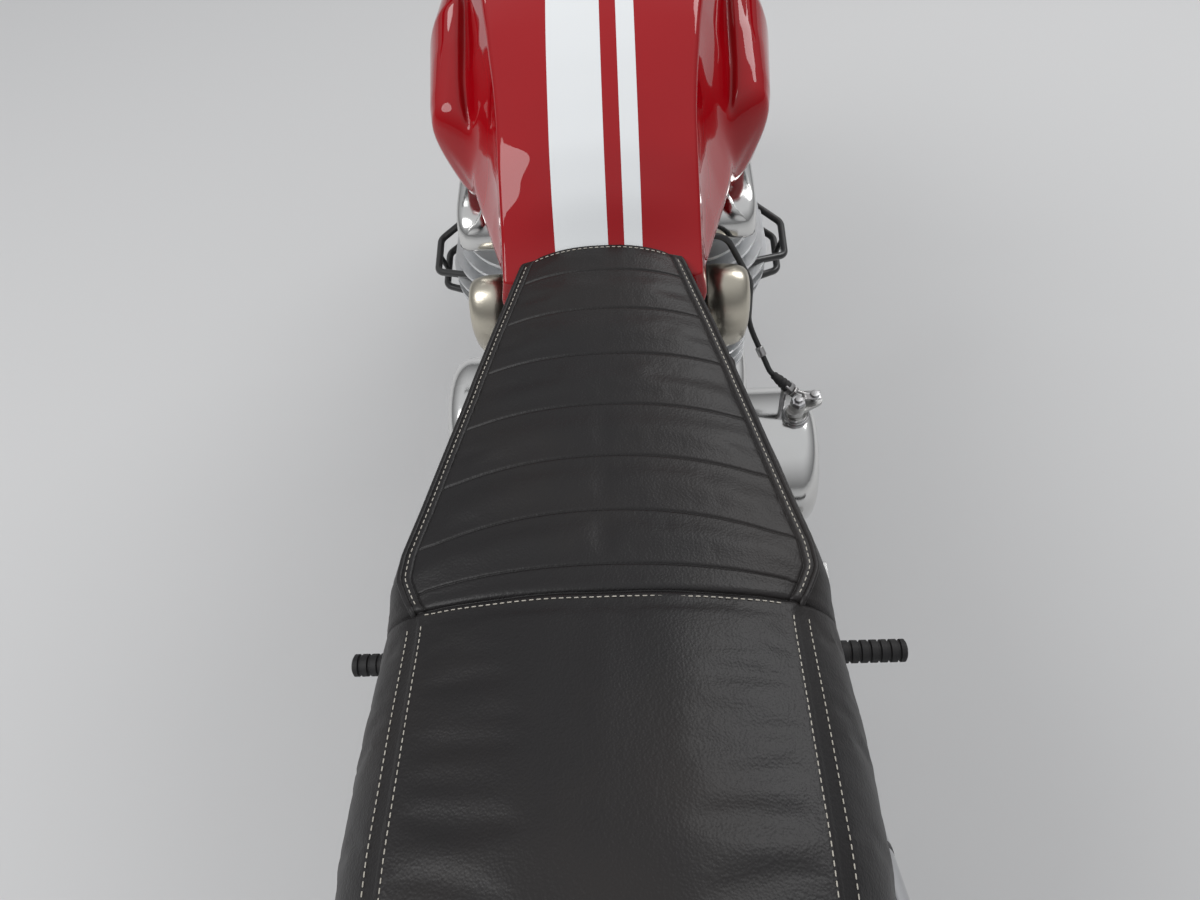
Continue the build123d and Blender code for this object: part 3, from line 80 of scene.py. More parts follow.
def maths(tree, operation, first, second=None, clamp=False):
    node = new_node(tree, "Math", operation=operation, use_clamp=clamp)
    for socket, value in zip(node.inputs, (first, second)):
        if isinstance(value, (int, float)):
            socket.default_value = value
        elif value is not None:
            tree.links.new(value, socket)
    return node.outputs[0]


def parts_of(tree, vector):
    parted = new_node(tree, "SeparateXYZ")
    join(tree, (vector, parted.inputs[0]))
    return parted.outputs


FLOOR_SIZE = 40
FLOOR_GREY = 0.62
floor = primitive(bpy.ops.mesh.primitive_plane_add, "floor", size=FLOOR_SIZE, location=(0, 0, 0))
floor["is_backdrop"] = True
floor_paint = bpy.data.materials.new("floor_paint")
floor_paint.use_nodes = True
floor_shader = floor_paint.node_tree.nodes["Principled BSDF"]
floor_shader.inputs["Base Color"].default_value = (FLOOR_GREY, FLOOR_GREY, FLOOR_GREY, 1)
floor_shader.inputs["Roughness"].default_value = 0.7
floor.data.materials.append(floor_paint)

# Brightness of the fill, of the surround as the camera sees it, and of what chrome and lacquer mirror
FILL = 0.62
SURROUND = 0.86
MIRRORED = {"From Max": 0.75, "To Min": 0.16, "To Max": 0.62}
world = bpy.data.worlds.new("surround")
bpy.context.scene.world = world
world.use_nodes = True
sky = world.node_tree
rays = new_node(sky, "LightPath").outputs
seen = maths(sky, "MAXIMUM", rays["Is Camera Ray"], rays["Is Glossy Ray"])
seen_or_through = maths(sky, "MAXIMUM", seen, rays["Is Transmission Ray"])
upness = parts_of(sky, new_node(sky, "TexCoord").outputs["Generated"])["Z"]
mirrored = new_node(sky, "MapRange", MIRRORED)
shown = new_node(sky, "Mix", {"B": SURROUND})
brightness = new_node(sky, "Mix", {"A": FILL})
background = sky.nodes["Background"]
background.inputs["Color"].default_value = (0.97, 0.98, 1.0, 1)
join(
    sky,
    (upness, mirrored.inputs["Value"]),
    (rays["Is Camera Ray"], shown.inputs["Factor"]),
    (mirrored.outputs[0], shown.inputs["A"]),
    (seen_or_through, brightness.inputs["Factor"]),
    (shown.outputs[0], brightness.inputs["B"]),
    (brightness.outputs[0], background.inputs["Strength"]),
)

# Soft lamps: place, aim, width and power
for place, aim, width, power in (
    ((-1.2, 2.6, 3.4), (0, 0, 0.6), 2.4, 60),
    ((1.8, -2.2, 3.2), (0, 0, 0.6), 2.0, 45),
):
    lamp = bpy.data.lights.new("soft_lamp", "AREA")
    lamp.shape = "DISK"
    lamp.size = width
    lamp.energy = power
    holder = bpy.data.objects.new("soft_lamp", lamp)
    holder.location = place
    holder.rotation_mode = "QUATERNION"
    holder.rotation_quaternion = (Vector(aim) - Vector(place)).to_track_quat("-Z", "Y")
    bpy.context.scene.collection.objects.link(holder)
bpy.context.scene.view_settings.view_transform = "Standard"

# The camera stands behind the rider's head and looks down and forward over the seat and the tank. Its place,
# its turns and its focal length come from the fit to the photograph.
CAMERA_AT = (-0.5666, -0.0259, 1.3091)
FOCAL_PIXELS = 866.19
PHOTO_WIDTH = 1200
SENSOR = 36
tip, turn, roll = radians(35.0346), radians(2.6567), radians(2.2332)
ahead = Vector((sin(tip), 0, -cos(tip)))
right = Vector((0, -1, 0))
down = Vector((-cos(tip), 0, -sin(tip)))
look = cos(turn) * ahead - sin(turn) * right
right = cos(turn) * right + sin(turn) * ahead
across, below = right * cos(roll) + down * sin(roll), down * cos(roll) - right * sin(roll)
camera = bpy.data.objects.new("camera", bpy.data.cameras.new("camera"))
camera.data.sensor_width = SENSOR
camera.data.lens = FOCAL_PIXELS / PHOTO_WIDTH * SENSOR
turned = Matrix((across, -below, -look)).transposed().to_4x4()
camera.matrix_world = Matrix.Translation(CAMERA_AT) @ turned
bpy.context.scene.collection.objects.link(camera)
bpy.context.scene.camera = camera


# The frame and swingarm are welded steel tube in satin black enamel. Enamel is thinner on edges, and it
# gathers a little pale road dust in patches.
def shader_group(name, inputs, outputs):
    group = bpy.data.node_groups.new(name, "ShaderNodeTree")
    for title, kind, value in inputs:
        socket = group.interface.new_socket(title, in_out="INPUT", socket_type=kind)
        socket.default_value = value
    for title, kind in outputs:
        group.interface.new_socket(title, in_out="OUTPUT", socket_type=kind)
    return group, group.nodes.new("NodeGroupInput"), group.nodes.new("NodeGroupOutput")


def on_object(tree):
    return new_node(tree, "TexCoord").outputs["Object"]


def noise_at(tree, scale, detail):
    noise = new_node(tree, "TexNoise", {"Detail": detail})
    join(tree, (on_object(tree), noise.inputs["Vector"]), (scale, noise.inputs["Scale"]))
    return noise.outputs["Fac"]


# One where high is well over low, nought where it is under, with a ramp between
def steep(tree, high, low, slope):
    return maths(tree, "MULTIPLY", maths(tree, "SUBTRACT", high, low), slope, clamp=True)


# Blender names the three kinds of A and B alike, so the colour pair is picked by its type
def colour_mix(tree, share, first, second):
    mix = new_node(tree, "Mix", data_type="RGBA")
    ends = [socket for socket in mix.inputs if socket.type == "RGBA"]
    for socket, value in zip([mix.inputs[0], *ends], (share, first, second)):
        if isinstance(value, (int, float, tuple)):
            socket.default_value = value
        else:
            tree.links.new(value, socket)
    return next(socket for socket in mix.outputs if socket.type == "RGBA")


# Use and weather: patchy colour and shine, with a fine surface height
weathering, given, result = shader_group(
    "weathering",
    [
        ("Fresh", "NodeSocketColor", (0.5, 0.5, 0.5, 1)),
        ("Worn", "NodeSocketColor", (0.4, 0.4, 0.4, 1)),
        ("Share", "NodeSocketFloat", 0.3),
        ("Patch Scale", "NodeSocketFloat", 12),
        ("Grain Scale", "NodeSocketFloat", 400),
        ("Shine", "NodeSocketFloat", 0.4),
        ("Spread", "NodeSocketFloat", 0.1),
    ],
    [("Colour", "NodeSocketColor"), ("Roughness", "NodeSocketFloat"), ("Height", "NodeSocketFloat")],
)
patches = noise_at(weathering, given.outputs["Patch Scale"], 6)
worn_share = maths(weathering, "MULTIPLY", steep(weathering, patches, 0.42, 4), given.outputs["Share"])
spread = maths(weathering, "MULTIPLY", maths(weathering, "SUBTRACT", patches, 0.5), given.outputs["Spread"])
mixed = colour_mix(weathering, worn_share, given.outputs["Fresh"], given.outputs["Worn"])
join(
    weathering,
    (mixed, result.inputs["Colour"]),
    (maths(weathering, "ADD", given.outputs["Shine"], spread), result.inputs["Roughness"]),
    (noise_at(weathering, given.outputs["Grain Scale"], 3), result.inputs["Height"]),
)

# Edges that were broken and rounded by hand or by wear
soft_edges, given, result = shader_group(
    "soft_edges",
    [("Radius", "NodeSocketFloat", 0.001)],
    [("Normal", "NodeSocketVector"), ("Edge", "NodeSocketFloat")],
)
bevel = new_node(soft_edges, "Bevel", samples=4)
alike = new_node(soft_edges, "VectorMath", operation="DOT_PRODUCT")
join(
    soft_edges,
    (given.outputs["Radius"], bevel.inputs["Radius"]),
    (bevel.outputs["Normal"], alike.inputs[0]),
    (new_node(soft_edges, "NewGeometry").outputs["Normal"], alike.inputs[1]),
    (bevel.outputs["Normal"], result.inputs["Normal"]),
    (steep(soft_edges, 1, alike.outputs["Value"], 5), result.inputs["Edge"]),
)
BUMP_DEPTH = 0.001
EDGE_WEAR = 0.7


def finish(
    name, fresh, worn, shine, metal=0.0, share=0.4, patch=9, grain=500, spread=0.12, relief=0.05,
    edge=None, edge_radius=0.0012, **sockets
):
    material = bpy.data.materials.new(name)
    material.use_nodes = True
    tree = material.node_tree
    shader = tree.nodes["Principled BSDF"]
    wear = {
        "Fresh": (*fresh, 1), "Worn": (*worn, 1), "Share": share, "Patch Scale": patch,
        "Grain Scale": grain, "Shine": shine, "Spread": spread,
    }
    use = new_node(tree, "Group", wear, node_tree=weathering)
    colour = use.outputs["Colour"]
    bump = new_node(tree, "Bump", {"Strength": relief, "Distance": BUMP_DEPTH})
    if edge_radius:
        edges = new_node(tree, "Group", {"Radius": edge_radius}, node_tree=soft_edges)
        join(tree, (edges.outputs["Normal"], bump.inputs["Normal"]))
        if edge:
            bared = maths(tree, "MULTIPLY", edges.outputs["Edge"], EDGE_WEAR)
            colour = colour_mix(tree, bared, colour, (*edge, 1))
    join(
        tree,
        (colour, shader.inputs["Base Color"]),
        (use.outputs["Roughness"], shader.inputs["Roughness"]),
        (use.outputs["Height"], bump.inputs["Height"]),
        (bump.outputs["Normal"], shader.inputs["Normal"]),
    )
    shader.inputs["Metallic"].default_value = metal
    for title, value in sockets.items():
        shader.inputs[title.replace("_", " ")].default_value = value
    return material


def dress(piece, material):
    piece.data.materials.clear()
    piece.data.materials.append(material)


def coat(material, *names):
    for name in names:
        dress(nodes[name], material)


black_enamel = finish(
    "black_enamel", (0.012, 0.012, 0.013), (0.05, 0.048, 0.044), 0.34, share=0.5, patch=14, spread=0.2,
    edge=(0.07, 0.07, 0.07), Coat_Weight=0.4, Coat_Roughness=0.2,
)
coat(black_enamel, "frame", "swingarm", "centre_stand", "side_stand", "headlamp_brackets", "knee_guards")

# The air box, the seat's floor, switch housings and lamp bodies are moulded in black plastic with a matt spark
# texture, and are clipped or screwed to their brackets.
black_plastic = finish(
    "black_plastic", (0.018, 0.018, 0.019), (0.04, 0.04, 0.04), 0.6, share=0.4, patch=20, grain=900,
    relief=0.25,
)
coat(black_plastic, "airbox", "seat_base", "hand_controls", "instruments", "front_indicators", "rear_lamps")

# Grips, fork gaiters and footpeg sleeves are moulded in soft black rubber and pushed over their tubes. Handling
# and dust keep them matt.
soft_rubber = finish(
    "soft_rubber", (0.014, 0.014, 0.015), (0.035, 0.034, 0.033), 0.62, share=0.5, patch=30, grain=700,
    relief=0.15, edge_radius=0.0006,
)
coat(soft_rubber, "grips", "fork_gaiters", "rider_footpegs")

# Pipes, silencers, guards, fork tubes and trim are steel, drawn or pressed, then polished and plated with
# chrome, which mirrors its surroundings almost clear.
chrome = finish(
    "chrome", (0.58, 0.59, 0.61), (0.5, 0.49, 0.48), 0.05, metal=1, share=0.25, patch=30, grain=250,
    spread=0.05, relief=0.01, edge_radius=0.0008,
)
coat(
    chrome, "front_rim", "rear_rim", "fork_stanchions", "handlebars", "mirrors", "headlamp_shell",
    "front_mudguard", "rear_mudguard", "exhaust_pipes", "silencers", "shock_springs", "fuel_cap",
)

# Hubs, sliders, crankcase, yokes and hangers are sand-cast in aluminium. They are machined only where they
# meet, and keep a fine grain elsewhere.
cast_alloy = finish(
    "cast_alloy", (0.55, 0.55, 0.54), (0.38, 0.37, 0.35), 0.42, metal=1, share=0.6, patch=16, grain=650,
    spread=0.15, relief=0.3, edge=(0.75, 0.75, 0.74),
)
coat(
    cast_alloy, "front_hub_spokes", "rear_hub_spokes", "fork_sliders", "crankcase", "footrest_hangers",
    "foot_pedals", "clutch_arm", "fork_yokes",
)

# Barrels and head are cast in aluminium with thin cooling fins. Their edges are machined bright, and dust
# stays between them.
fin_alloy = finish(
    "fin_alloy", (0.72, 0.73, 0.74), (0.5, 0.5, 0.5), 0.38, metal=0.85, share=0.4, patch=20, grain=800,
    spread=0.15, relief=0.25, edge=(0.82, 0.82, 0.82), edge_radius=0.0008,
)
coat(fin_alloy, "cylinder_barrels", "cylinder_head")

# The covers over the clutch and the alternator are cast in aluminium, polished to a soft mirror and bolted
# to the crankcase.
polished_alloy = finish(
    "polished_alloy", (0.78, 0.78, 0.77), (0.66, 0.65, 0.63), 0.14, metal=1, share=0.4, patch=10, grain=300,
    spread=0.1, relief=0.02,
)
coat(polished_alloy, "rocker_cover", "left_engine_cover", "right_engine_cover")

# Discs, sprocket and dampers are steel, turned and ground to a fine brushed grain. The discs and the sprocket
# are bolted to their hubs.
ground_steel = finish(
    "ground_steel", (0.5, 0.5, 0.51), (0.32, 0.3, 0.28), 0.32, metal=1, share=0.5, patch=30, grain=900,
    spread=0.15, relief=0.15,
)
coat(ground_steel, "front_disc", "rear_disc", "rear_sprocket", "chain", "shocks")

# The calipers are cast aluminium and the oil cooler is brazed from plates. Both are stoved black and bolted to
# their brackets.
black_casting = finish(
    "black_casting", (0.02, 0.02, 0.021), (0.05, 0.05, 0.05), 0.45, share=0.4, patch=25, grain=700,
    relief=0.2, edge=(0.12, 0.12, 0.12),
)
coat(black_casting, "front_caliper", "rear_caliper", "oil_cooler")

# The fuel tank is pressed and welded from sheet steel in deep red lacquer. Its top keeps a sharp crease
# above each knee recess, and a flared lobe starts with a blunt lip in front of the knee.
# Stations along the tank: x, the crown's height, then y and z of eight points from the crease to the foot
TANK_STATIONS = [
    (-34, 798, (84, 793), (85, 788), (86, 784), (87, 780), (88, 776), (88, 772), (87, 765), (84, 755)),
    (-24, 805, (84, 801), (85, 795), (86, 789), (87, 783), (88, 778), (89, 773), (88, 766), (84, 755)),
    (-10, 822, (83.5, 814), (85, 804), (86, 796), (87, 788), (88, 781), (89, 775), (89, 768), (85, 755)),
    (4, 847, (83, 831), (85, 818), (86, 806), (88, 794), (89, 786), (90, 778), (90, 769), (86, 755)),
    (34, 877, (82, 864), (86, 840), (91, 820), (96, 802), (99, 790), (100, 781), (99, 770), (93, 755)),
    (70, 900, (82, 887), (88, 858), (96, 830), (104, 806), (109, 792), (111, 783), (110, 771), (102, 755)),
    (100, 917, (84, 905), (91, 874), (102, 840), (112, 812), (118, 796), (120, 787), (119, 773), (110, 755)),
    (114, 923.5, (85.6, 913), (93.5, 882), (106, 847), (115, 821), (120, 804), (123, 792), (122, 776), (116, 755)),
    (119, 925.5, (86, 915.5), (94.5, 885), (111, 842), (118, 829), (121, 812), (124, 797), (124, 781), (118, 755)),
    (124, 927.5, (86.6, 918), (95.5, 887.5), (116, 836), (121, 837), (128, 825), (133, 807), (129, 787), (120, 755)),
    (130, 930, (87, 921), (96.4, 890), (118, 839), (122.5, 847), (138, 843), (147, 824), (136, 798), (124, 755)),
    (138, 933, (87.6, 925), (98, 893), (119, 845), (123.5, 855), (143, 856), (158, 836), (152, 802), (133, 755)),
    (160, 940, (91, 931), (102, 900), (120, 859), (126, 868), (143, 866), (161, 843), (158, 804), (146, 755)),
    (195, 948, (96, 937), (107, 910), (120, 873), (126, 884), (144, 881), (163, 849), (163, 805), (151, 755)),
    (240, 953, (104, 939), (114, 922), (121, 888), (127, 898), (149, 890), (167, 852), (167, 806), (155, 755)),
    (290, 955, (106, 936), (119, 920), (129, 893), (137, 898), (150, 881), (166, 845), (164, 806), (148, 755)),
    (335, 950, (92, 930), (106, 917), (117, 899), (127, 888), (139, 868), (150, 838), (148, 806), (130, 755)),
    (370, 942, (68, 922), (80, 909), (91, 893), (101, 877), (110, 858), (116, 834), (114, 806), (100, 756)),
    (390, 930, (44, 914), (54, 904), (63, 890), (71, 874), (79, 858), (84, 836), (82, 808), (70, 758)),
    (397, 915, (28, 903), (36, 893), (44, 880), (52, 866), (58, 852), (60, 834), (58, 810), (50, 764)),
]
# The tunnel over the backbone, the low roof over the seat's tongue behind it, and the closed nose before it
TUNNEL_HALF = 36
TUNNEL_START = 52
TUNNEL_END = 380
TUNNEL_TOP = 832
TONGUE_REAR = -34
TONGUE_ROOF = 774
TONGUE_RISE = 0.2
NOSE_ROOF = [(TUNNEL_HALF - 4, 800), (20, 815), (0, 818)]
# The crown is a flat curve: shares of the way from its middle to the crease, and how late it drops
CROWN_STEPS = (0, 0.25, 0.5, 0.7, 0.87)
CROWN_POWER = 2.2


def tank_ring(station):
    x, crown, crease, *rest = station
    drop = crown - crease[1]
    half = [(t * crease[0], crown - drop * t**CROWN_POWER) for t in CROWN_STEPS] + [crease, *rest]
    low = rest[-1][1]
    if x < TUNNEL_START:
        roof = TONGUE_ROOF + TONGUE_RISE * (x - TONGUE_REAR)
        half += [(TUNNEL_HALF + 2, low), (TUNNEL_HALF, roof - 12), (TUNNEL_HALF - 10, roof), (0, roof)]
    elif x > TUNNEL_END:
        half += [(TUNNEL_HALF, low + 4), *NOSE_ROOF]
    else:
        half += [(TUNNEL_HALF + 2, low), (TUNNEL_HALF, TUNNEL_TOP - 30)]
        half += [(TUNNEL_HALF - 14, TUNNEL_TOP), (0, TUNNEL_TOP + 4)]
    ring = half + [(-y, z) for y, z in reversed(half[1:-1])]
    return [(x, y, z) for y, z in ring]


def close_up(weld=False, cap=False, by_edges=False):
    bpy.context.tool_settings.mesh_select_mode = (not by_edges, by_edges, False)
    bpy.ops.object.mode_set(mode="EDIT")
    bpy.ops.mesh.select_all(action="SELECT")
    if weld:
        bpy.ops.mesh.remove_doubles(threshold=0.00001)
        bpy.ops.mesh.delete_loose()
    if cap:
        bpy.ops.mesh.select_all(action="DESELECT")
        bpy.ops.mesh.select_non_manifold()
        bpy.ops.mesh.edge_face_add()
    bpy.ops.mesh.select_all(action="SELECT")
    bpy.ops.mesh.normals_make_consistent(inside=False)
    bpy.ops.object.mode_set(mode="OBJECT")


def grid_from(rings, name):
    along, around = len(rings), len(rings[0])
    add = bpy.ops.mesh.primitive_grid_add
    piece = primitive(add, name, x_subdivisions=along - 1, y_subdivisions=around, size=1)
    for vertex in piece.data.vertices:
        i = round((vertex.co.x + 0.5) * (along - 1))
        j = round((vertex.co.y + 0.5) * around) % around
        vertex.co = Vector(rings[i][j]) / 1000
    close_up(weld=True, cap=True)
    bpy.ops.object.shade_smooth()
    return piece


# The stations are filled in to even steps, and each line along the tank is eased: the crown and the creases
# over a long window, the lobe over a short one
TANK_STEP = 5
LONG_EASE = 31
SHORT_EASE = 9
LONG_LINES = 7
table = np.array([[x, crown, *np.ravel(points)] for x, crown, *points in TANK_STATIONS])
fine = np.arange(table[0, 0] - 20, table[-1, 0] + 21, 1.0)
eased = []
for number, values in enumerate(table[:, 1:].T):
    easing = np.hanning(LONG_EASE if number < LONG_LINES else SHORT_EASE)
    eased.append(np.convolve(np.interp(fine, table[:, 0], values), easing / easing.sum(), mode="same"))
tank_rings = []
for x in [*np.arange(table[0, 0], table[-1, 0] - 2, TANK_STEP), table[-1, 0]]:
    crown, *points = (float(np.interp(x, fine, values)) for values in eased)
    tank_rings.append(tank_ring((float(x), crown, *zip(points[::2], points[1::2]))))
tank = grid_from(tank_rings, "tank_shell")

# Pressed lines that stay sharp: place in a station's row, from and to along the tank, and sharpness
SHARP_LINES = [(5, -40, 300, 0.75), (7, 124, 300, 0.3), (8, 128, 320, 0.7), (12, -40, 400, 0.6)]
creases = tank.data.attributes.new("crease_edge", "FLOAT", "EDGE")
columns = {}
for ring in tank_rings:
    for column, (x, y, z) in enumerate(ring[:14]):
        columns[round(x), round(y, 1), round(z, 1)] = column
for edge in tank.data.edges:
    ends = [tank.data.vertices[number].co * 1000 for number in edge.vertices]
    found = [columns.get((round(x), round(abs(y), 1), round(z, 1))) for x, y, z in ends]
    for line, start, end, sharpness in SHARP_LINES:
        if found == [line, line] and start < ends[0].x < end:
            creases.data[edge.index].value = sharpness
smoothing = tank.modifiers.new("smoothing", "SUBSURF")
smoothing.levels = smoothing.render_levels = 2
bpy.ops.object.modifier_apply(modifier="smoothing")

# Lacquer with two white stripes along the crown, a wide one left of the middle and a narrow one right of it
tank_lacquer = finish(
    "tank_lacquer", (0.34, 0.001, 0.005), (0.29, 0.001, 0.004), 0.3, share=0.6, patch=5, grain=40,
    spread=0.03, relief=0.004, edge_radius=0, Coat_Weight=1.0, Coat_Roughness=0.02, Specular_IOR_Level=0.0,
)
STRIPES = [(-0.006, 0.0385), (-0.0345, -0.0195)]
STRIPE_FLOOR = 0.8
STRIPE_WHITE = (0.8, 0.82, 0.83, 1)
tree = tank_lacquer.node_tree
place = parts_of(tree, on_object(tree))
stripe_share = 0
for low, high in STRIPES:
    over, under = maths(tree, "GREATER_THAN", place["Y"], low), maths(tree, "LESS_THAN", place["Y"], high)
    stripe_share = maths(tree, "ADD", stripe_share, maths(tree, "MULTIPLY", over, under))
on_top = maths(tree, "GREATER_THAN", place["Z"], STRIPE_FLOOR)
base_colour = tree.nodes["Principled BSDF"].inputs["Base Color"]
red = base_colour.links[0].from_socket
striped = colour_mix(tree, maths(tree, "MULTIPLY", stripe_share, on_top), red, STRIPE_WHITE)
join(tree, (striped, base_colour))
tank.data.materials.append(tank_lacquer)
coat(tank_lacquer, "side_panels")
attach(tank, "frame")
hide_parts("fuel_tank")


# The filler neck is a turned steel collar brazed into the tank's top, with two ears that carry the pin of the
# cap's hinge.
def pick_faces(piece, wanted):
    bpy.ops.object.mode_set(mode="OBJECT")
    mesh = piece.data
    mesh.vertices.foreach_set("select", [False] * len(mesh.vertices))
    mesh.edges.foreach_set("select", [False] * len(mesh.edges))
    mesh.polygons.foreach_set("select", [wanted(face.center, face.normal) for face in mesh.polygons])
    bpy.context.tool_settings.mesh_select_mode = (False, False, True)
    bpy.ops.object.mode_set(mode="EDIT")


def assembled(name, pieces, body):
    bpy.ops.object.select_all(action="DESELECT")
    for piece in pieces:
        piece.select_set(True)
    bpy.context.view_layer.objects.active = pieces[0]
    bpy.ops.object.join()
    whole = bpy.context.object
    whole.name = name
    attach(whole, body)
    return whole


CAP_X = 0.240
NECK_TOP = 0.964
NECK_R = 0.042
BORE_R = 0.030
BORE_DEPTH = 0.084
COLLAR = 0.034
RIM_DROP = 0.0012
neck = primitive(
    bpy.ops.mesh.primitive_cylinder_add, "filler_neck", vertices=64, radius=NECK_R, depth=COLLAR,
    location=(CAP_X, 0, NECK_TOP - COLLAR / 2),
)
pick_faces(neck, lambda centre, normal: normal.z > 0.9)
bpy.ops.mesh.inset(thickness=0.003)
bpy.ops.transform.translate(value=(0, 0, -RIM_DROP))
bpy.ops.mesh.inset(thickness=NECK_R - BORE_R - 0.004)
bpy.ops.mesh.inset(thickness=0.001)
bpy.ops.mesh.extrude_region_move(TRANSFORM_OT_translate={"value": (0, 0, RIM_DROP - BORE_DEPTH)})
bpy.ops.object.mode_set(mode="OBJECT")
HINGE_X = CAP_X + 0.047
HINGE_Z = NECK_TOP + 0.008
EAR_SIZE = (0.010, 0.004, 0.038)
ears = []
for side in (-1, 1):
    ear_at = (HINGE_X, side * 0.011, HINGE_Z - 0.015)
    ear = primitive(bpy.ops.mesh.primitive_cube_add, "hinge_ear", size=1, location=ear_at, scale=EAR_SIZE)
    pick_faces(ear, lambda centre, normal: normal.z > 0.9)
    bpy.ops.mesh.bevel(offset=0.004, segments=5, affect="EDGES")
    bpy.ops.object.mode_set(mode="OBJECT")
    ears.append(ear)
ALONG_Y = (pi / 2, 0, 0)
pin = primitive(
    bpy.ops.mesh.primitive_cylinder_add, "hinge_pin", vertices=16, radius=0.0025, depth=0.0264,
    location=(HINGE_X, 0, HINGE_Z), rotation=ALONG_Y,
)
pick_faces(pin, lambda centre, normal: abs(normal.y) > 0.9)
bpy.ops.mesh.bevel(offset=0.0006, segments=2, affect="EDGES")
bpy.ops.object.mode_set(mode="OBJECT")
neck = assembled("filler_neck", [neck, *ears, pin], "frame")
bpy.ops.object.shade_smooth_by_angle(angle=radians(35))
neck.data.materials.append(ground_steel)

# The seat is foam under dark brown leather: a ribbed panel for the rider, edged with piping, a plain pad behind
# the cross seam, and deep side skirts sewn to the top along double rows of pale thread.
SEAT_FRONT = -14
SEAT_REAR = -672
CROSS_SEAM = -330
# Half-width of the top, height of its edge, rise of its middle, and half-width and height of the skirts' hem
TOP_EDGE = [
    (-672, 84), (-655, 104), (-620, 113), (-560, 117), (-480, 119.5), (-400, 120.5), (-350, 121), (-335, 122),
    (-322, 130), (-307, 137), (-289, 136), (-241, 125), (-190, 113), (-136, 100), (-89, 87), (-46, 74),
    (-24, 67), (-14, 62),
]
EDGE_HEIGHT = [
    (-672, 826), (-640, 834), (-560, 834), (-480, 826), (-400, 812), (-330, 799), (-250, 794), (-150, 793),
    (-60, 800), (-30, 804), (-14, 807),
]
CROWN = [
    (-672, 8), (-640, 12), (-560, 16), (-480, 18), (-400, 19), (-330, 20), (-150, 19), (-60, 17), (-14, 13),
]
HEM = [
    (-672, 104), (-655, 126), (-620, 142), (-560, 156), (-480, 164), (-400, 162), (-335, 156), (-250, 136),
    (-150, 110), (-60, 84), (-40, 76), (-30, 71), (-14, 65),
]
HEM_HEIGHT = [
    (-672, 764), (-640, 752), (-480, 742), (-335, 742), (-150, 750), (-55, 764), (-40, 790), (-30, 800),
    (-14, 803),
]
# Lines sewn across the rider's panel: place on the middle line, and how far the ends lie behind it
RIBS = [(-310, 9), (-268, 18), (-223, 15), (-177, 11), (-129, 6), (-84, 5), (-43, 4)]
BOWS = [(SEAT_REAR, 0), (-340, 0), (CROSS_SEAM, 2), *RIBS, (SEAT_FRONT, 6)]
SEWN_LINES = [CROSS_SEAM, *(middle for middle, _ in RIBS)]
BOW_HALF = 120
NOSE_HALF = 66
NOSE_BOW = 5
BORDER = 8
SKIRT_STEPS = 16


def curve_through(table, softness=25):
    fine = np.arange(SEAT_REAR - 60, SEAT_FRONT + 60, 1.0)
    xs, values = np.array(sorted(table), float).T
    window = np.hanning(softness)
    raw = np.pad(np.interp(fine, xs, values), softness // 2, mode="edge")
    smooth = np.convolve(raw, window / window.sum(), mode="valid")
    return lambda x: float(np.interp(x, fine, smooth))


top_edge = curve_through(TOP_EDGE, 15)
edge_height = curve_through(EDGE_HEIGHT)
crown_height = curve_through(CROWN)
hem = curve_through(HEM)
hem_height = curve_through(HEM_HEIGHT)
bow_at = curve_through(BOWS)


def nose_bow(y):
    return NOSE_BOW * (y / NOSE_HALF) ** 2


# Width and depth of the dip along each sewn line, and of the swelling beside it
CROSS_DIP, CROSS_SWELL = (1.3, 2.0), (3.5, 0.9)
BORDER_DIP, BORDER_SWELL = (0.8, 1.2), (2.5, 0.5)
RIB_DIP = (0.8, 1.1)
EDGE_DIP, EDGE_SWELL = (1.6, 1.6), (4, 0.7)
SKIRT_DIP = (2.5, 1.2)
CROWN_FALL = 2.4
NOSE_DROP = 4
NOSE_ROUND = 7
FOLD_DEPTH = 0.9
FOLD_ALONG, FOLD_ACROSS, FOLD_START = 0.011, 0.035, 3.1
SKIRT_BULGE = 5


def dip(distance, width, depth):
    return -depth * exp(-((distance / width) ** 2))


def top_point(station, from_edge, side):
    y = max(top_edge(station) - from_edge, 0)
    x = station - (bow_at(station) * (y / BOW_HALF) ** 2 if station < SEAT_FRONT - 1 else nose_bow(y))
    top = top_edge(x)
    y = max(top - from_edge, 0) if from_edge < 15 else y
    share = min(y / top, 1)
    height = edge_height(x) + crown_height(x) * (1 - share**CROWN_FALL)
    height += dip(station - CROSS_SEAM, *CROSS_DIP) - dip(abs(station - CROSS_SEAM) - 5, *CROSS_SWELL)
    if station > CROSS_SEAM:
        height += dip(from_edge - BORDER, *BORDER_DIP) - dip(from_edge - BORDER / 2, *BORDER_SWELL)
        if from_edge > BORDER:
            height += dip(min(abs(station - middle) for middle, _ in RIBS), *RIB_DIP)
        height -= NOSE_DROP * max(0, (station - SEAT_FRONT + NOSE_ROUND) / NOSE_ROUND) ** 2
    else:
        height += dip(from_edge, *EDGE_DIP) - dip(from_edge - 6, *EDGE_SWELL)
        fold = noise.noise(Vector((x * FOLD_ALONG, side * y * FOLD_ACROSS, FOLD_START)))
        height += FOLD_DEPTH * fold * min(1, from_edge / 20)
    return (x, side * y, height)


def skirt_point(station, share, side):
    x, y, z = top_point(station, 0, 1)
    out = SKIRT_BULGE * sin(pi * share) * min(1, (y / 100) ** 2)
    seam = dip(share * 60, *SKIRT_DIP) if share > 0 else 0
    return (x, side * (y + (hem(x) - y) * share**0.8 + out + seam), z + (hem_height(x) - z) * share**1.15)


INSETS = [0, 1.2, 2.4, 4, 5.6, 7, 7.6, 8, 8.4, 9, 10.5, 13]
INNER_STEPS = 22


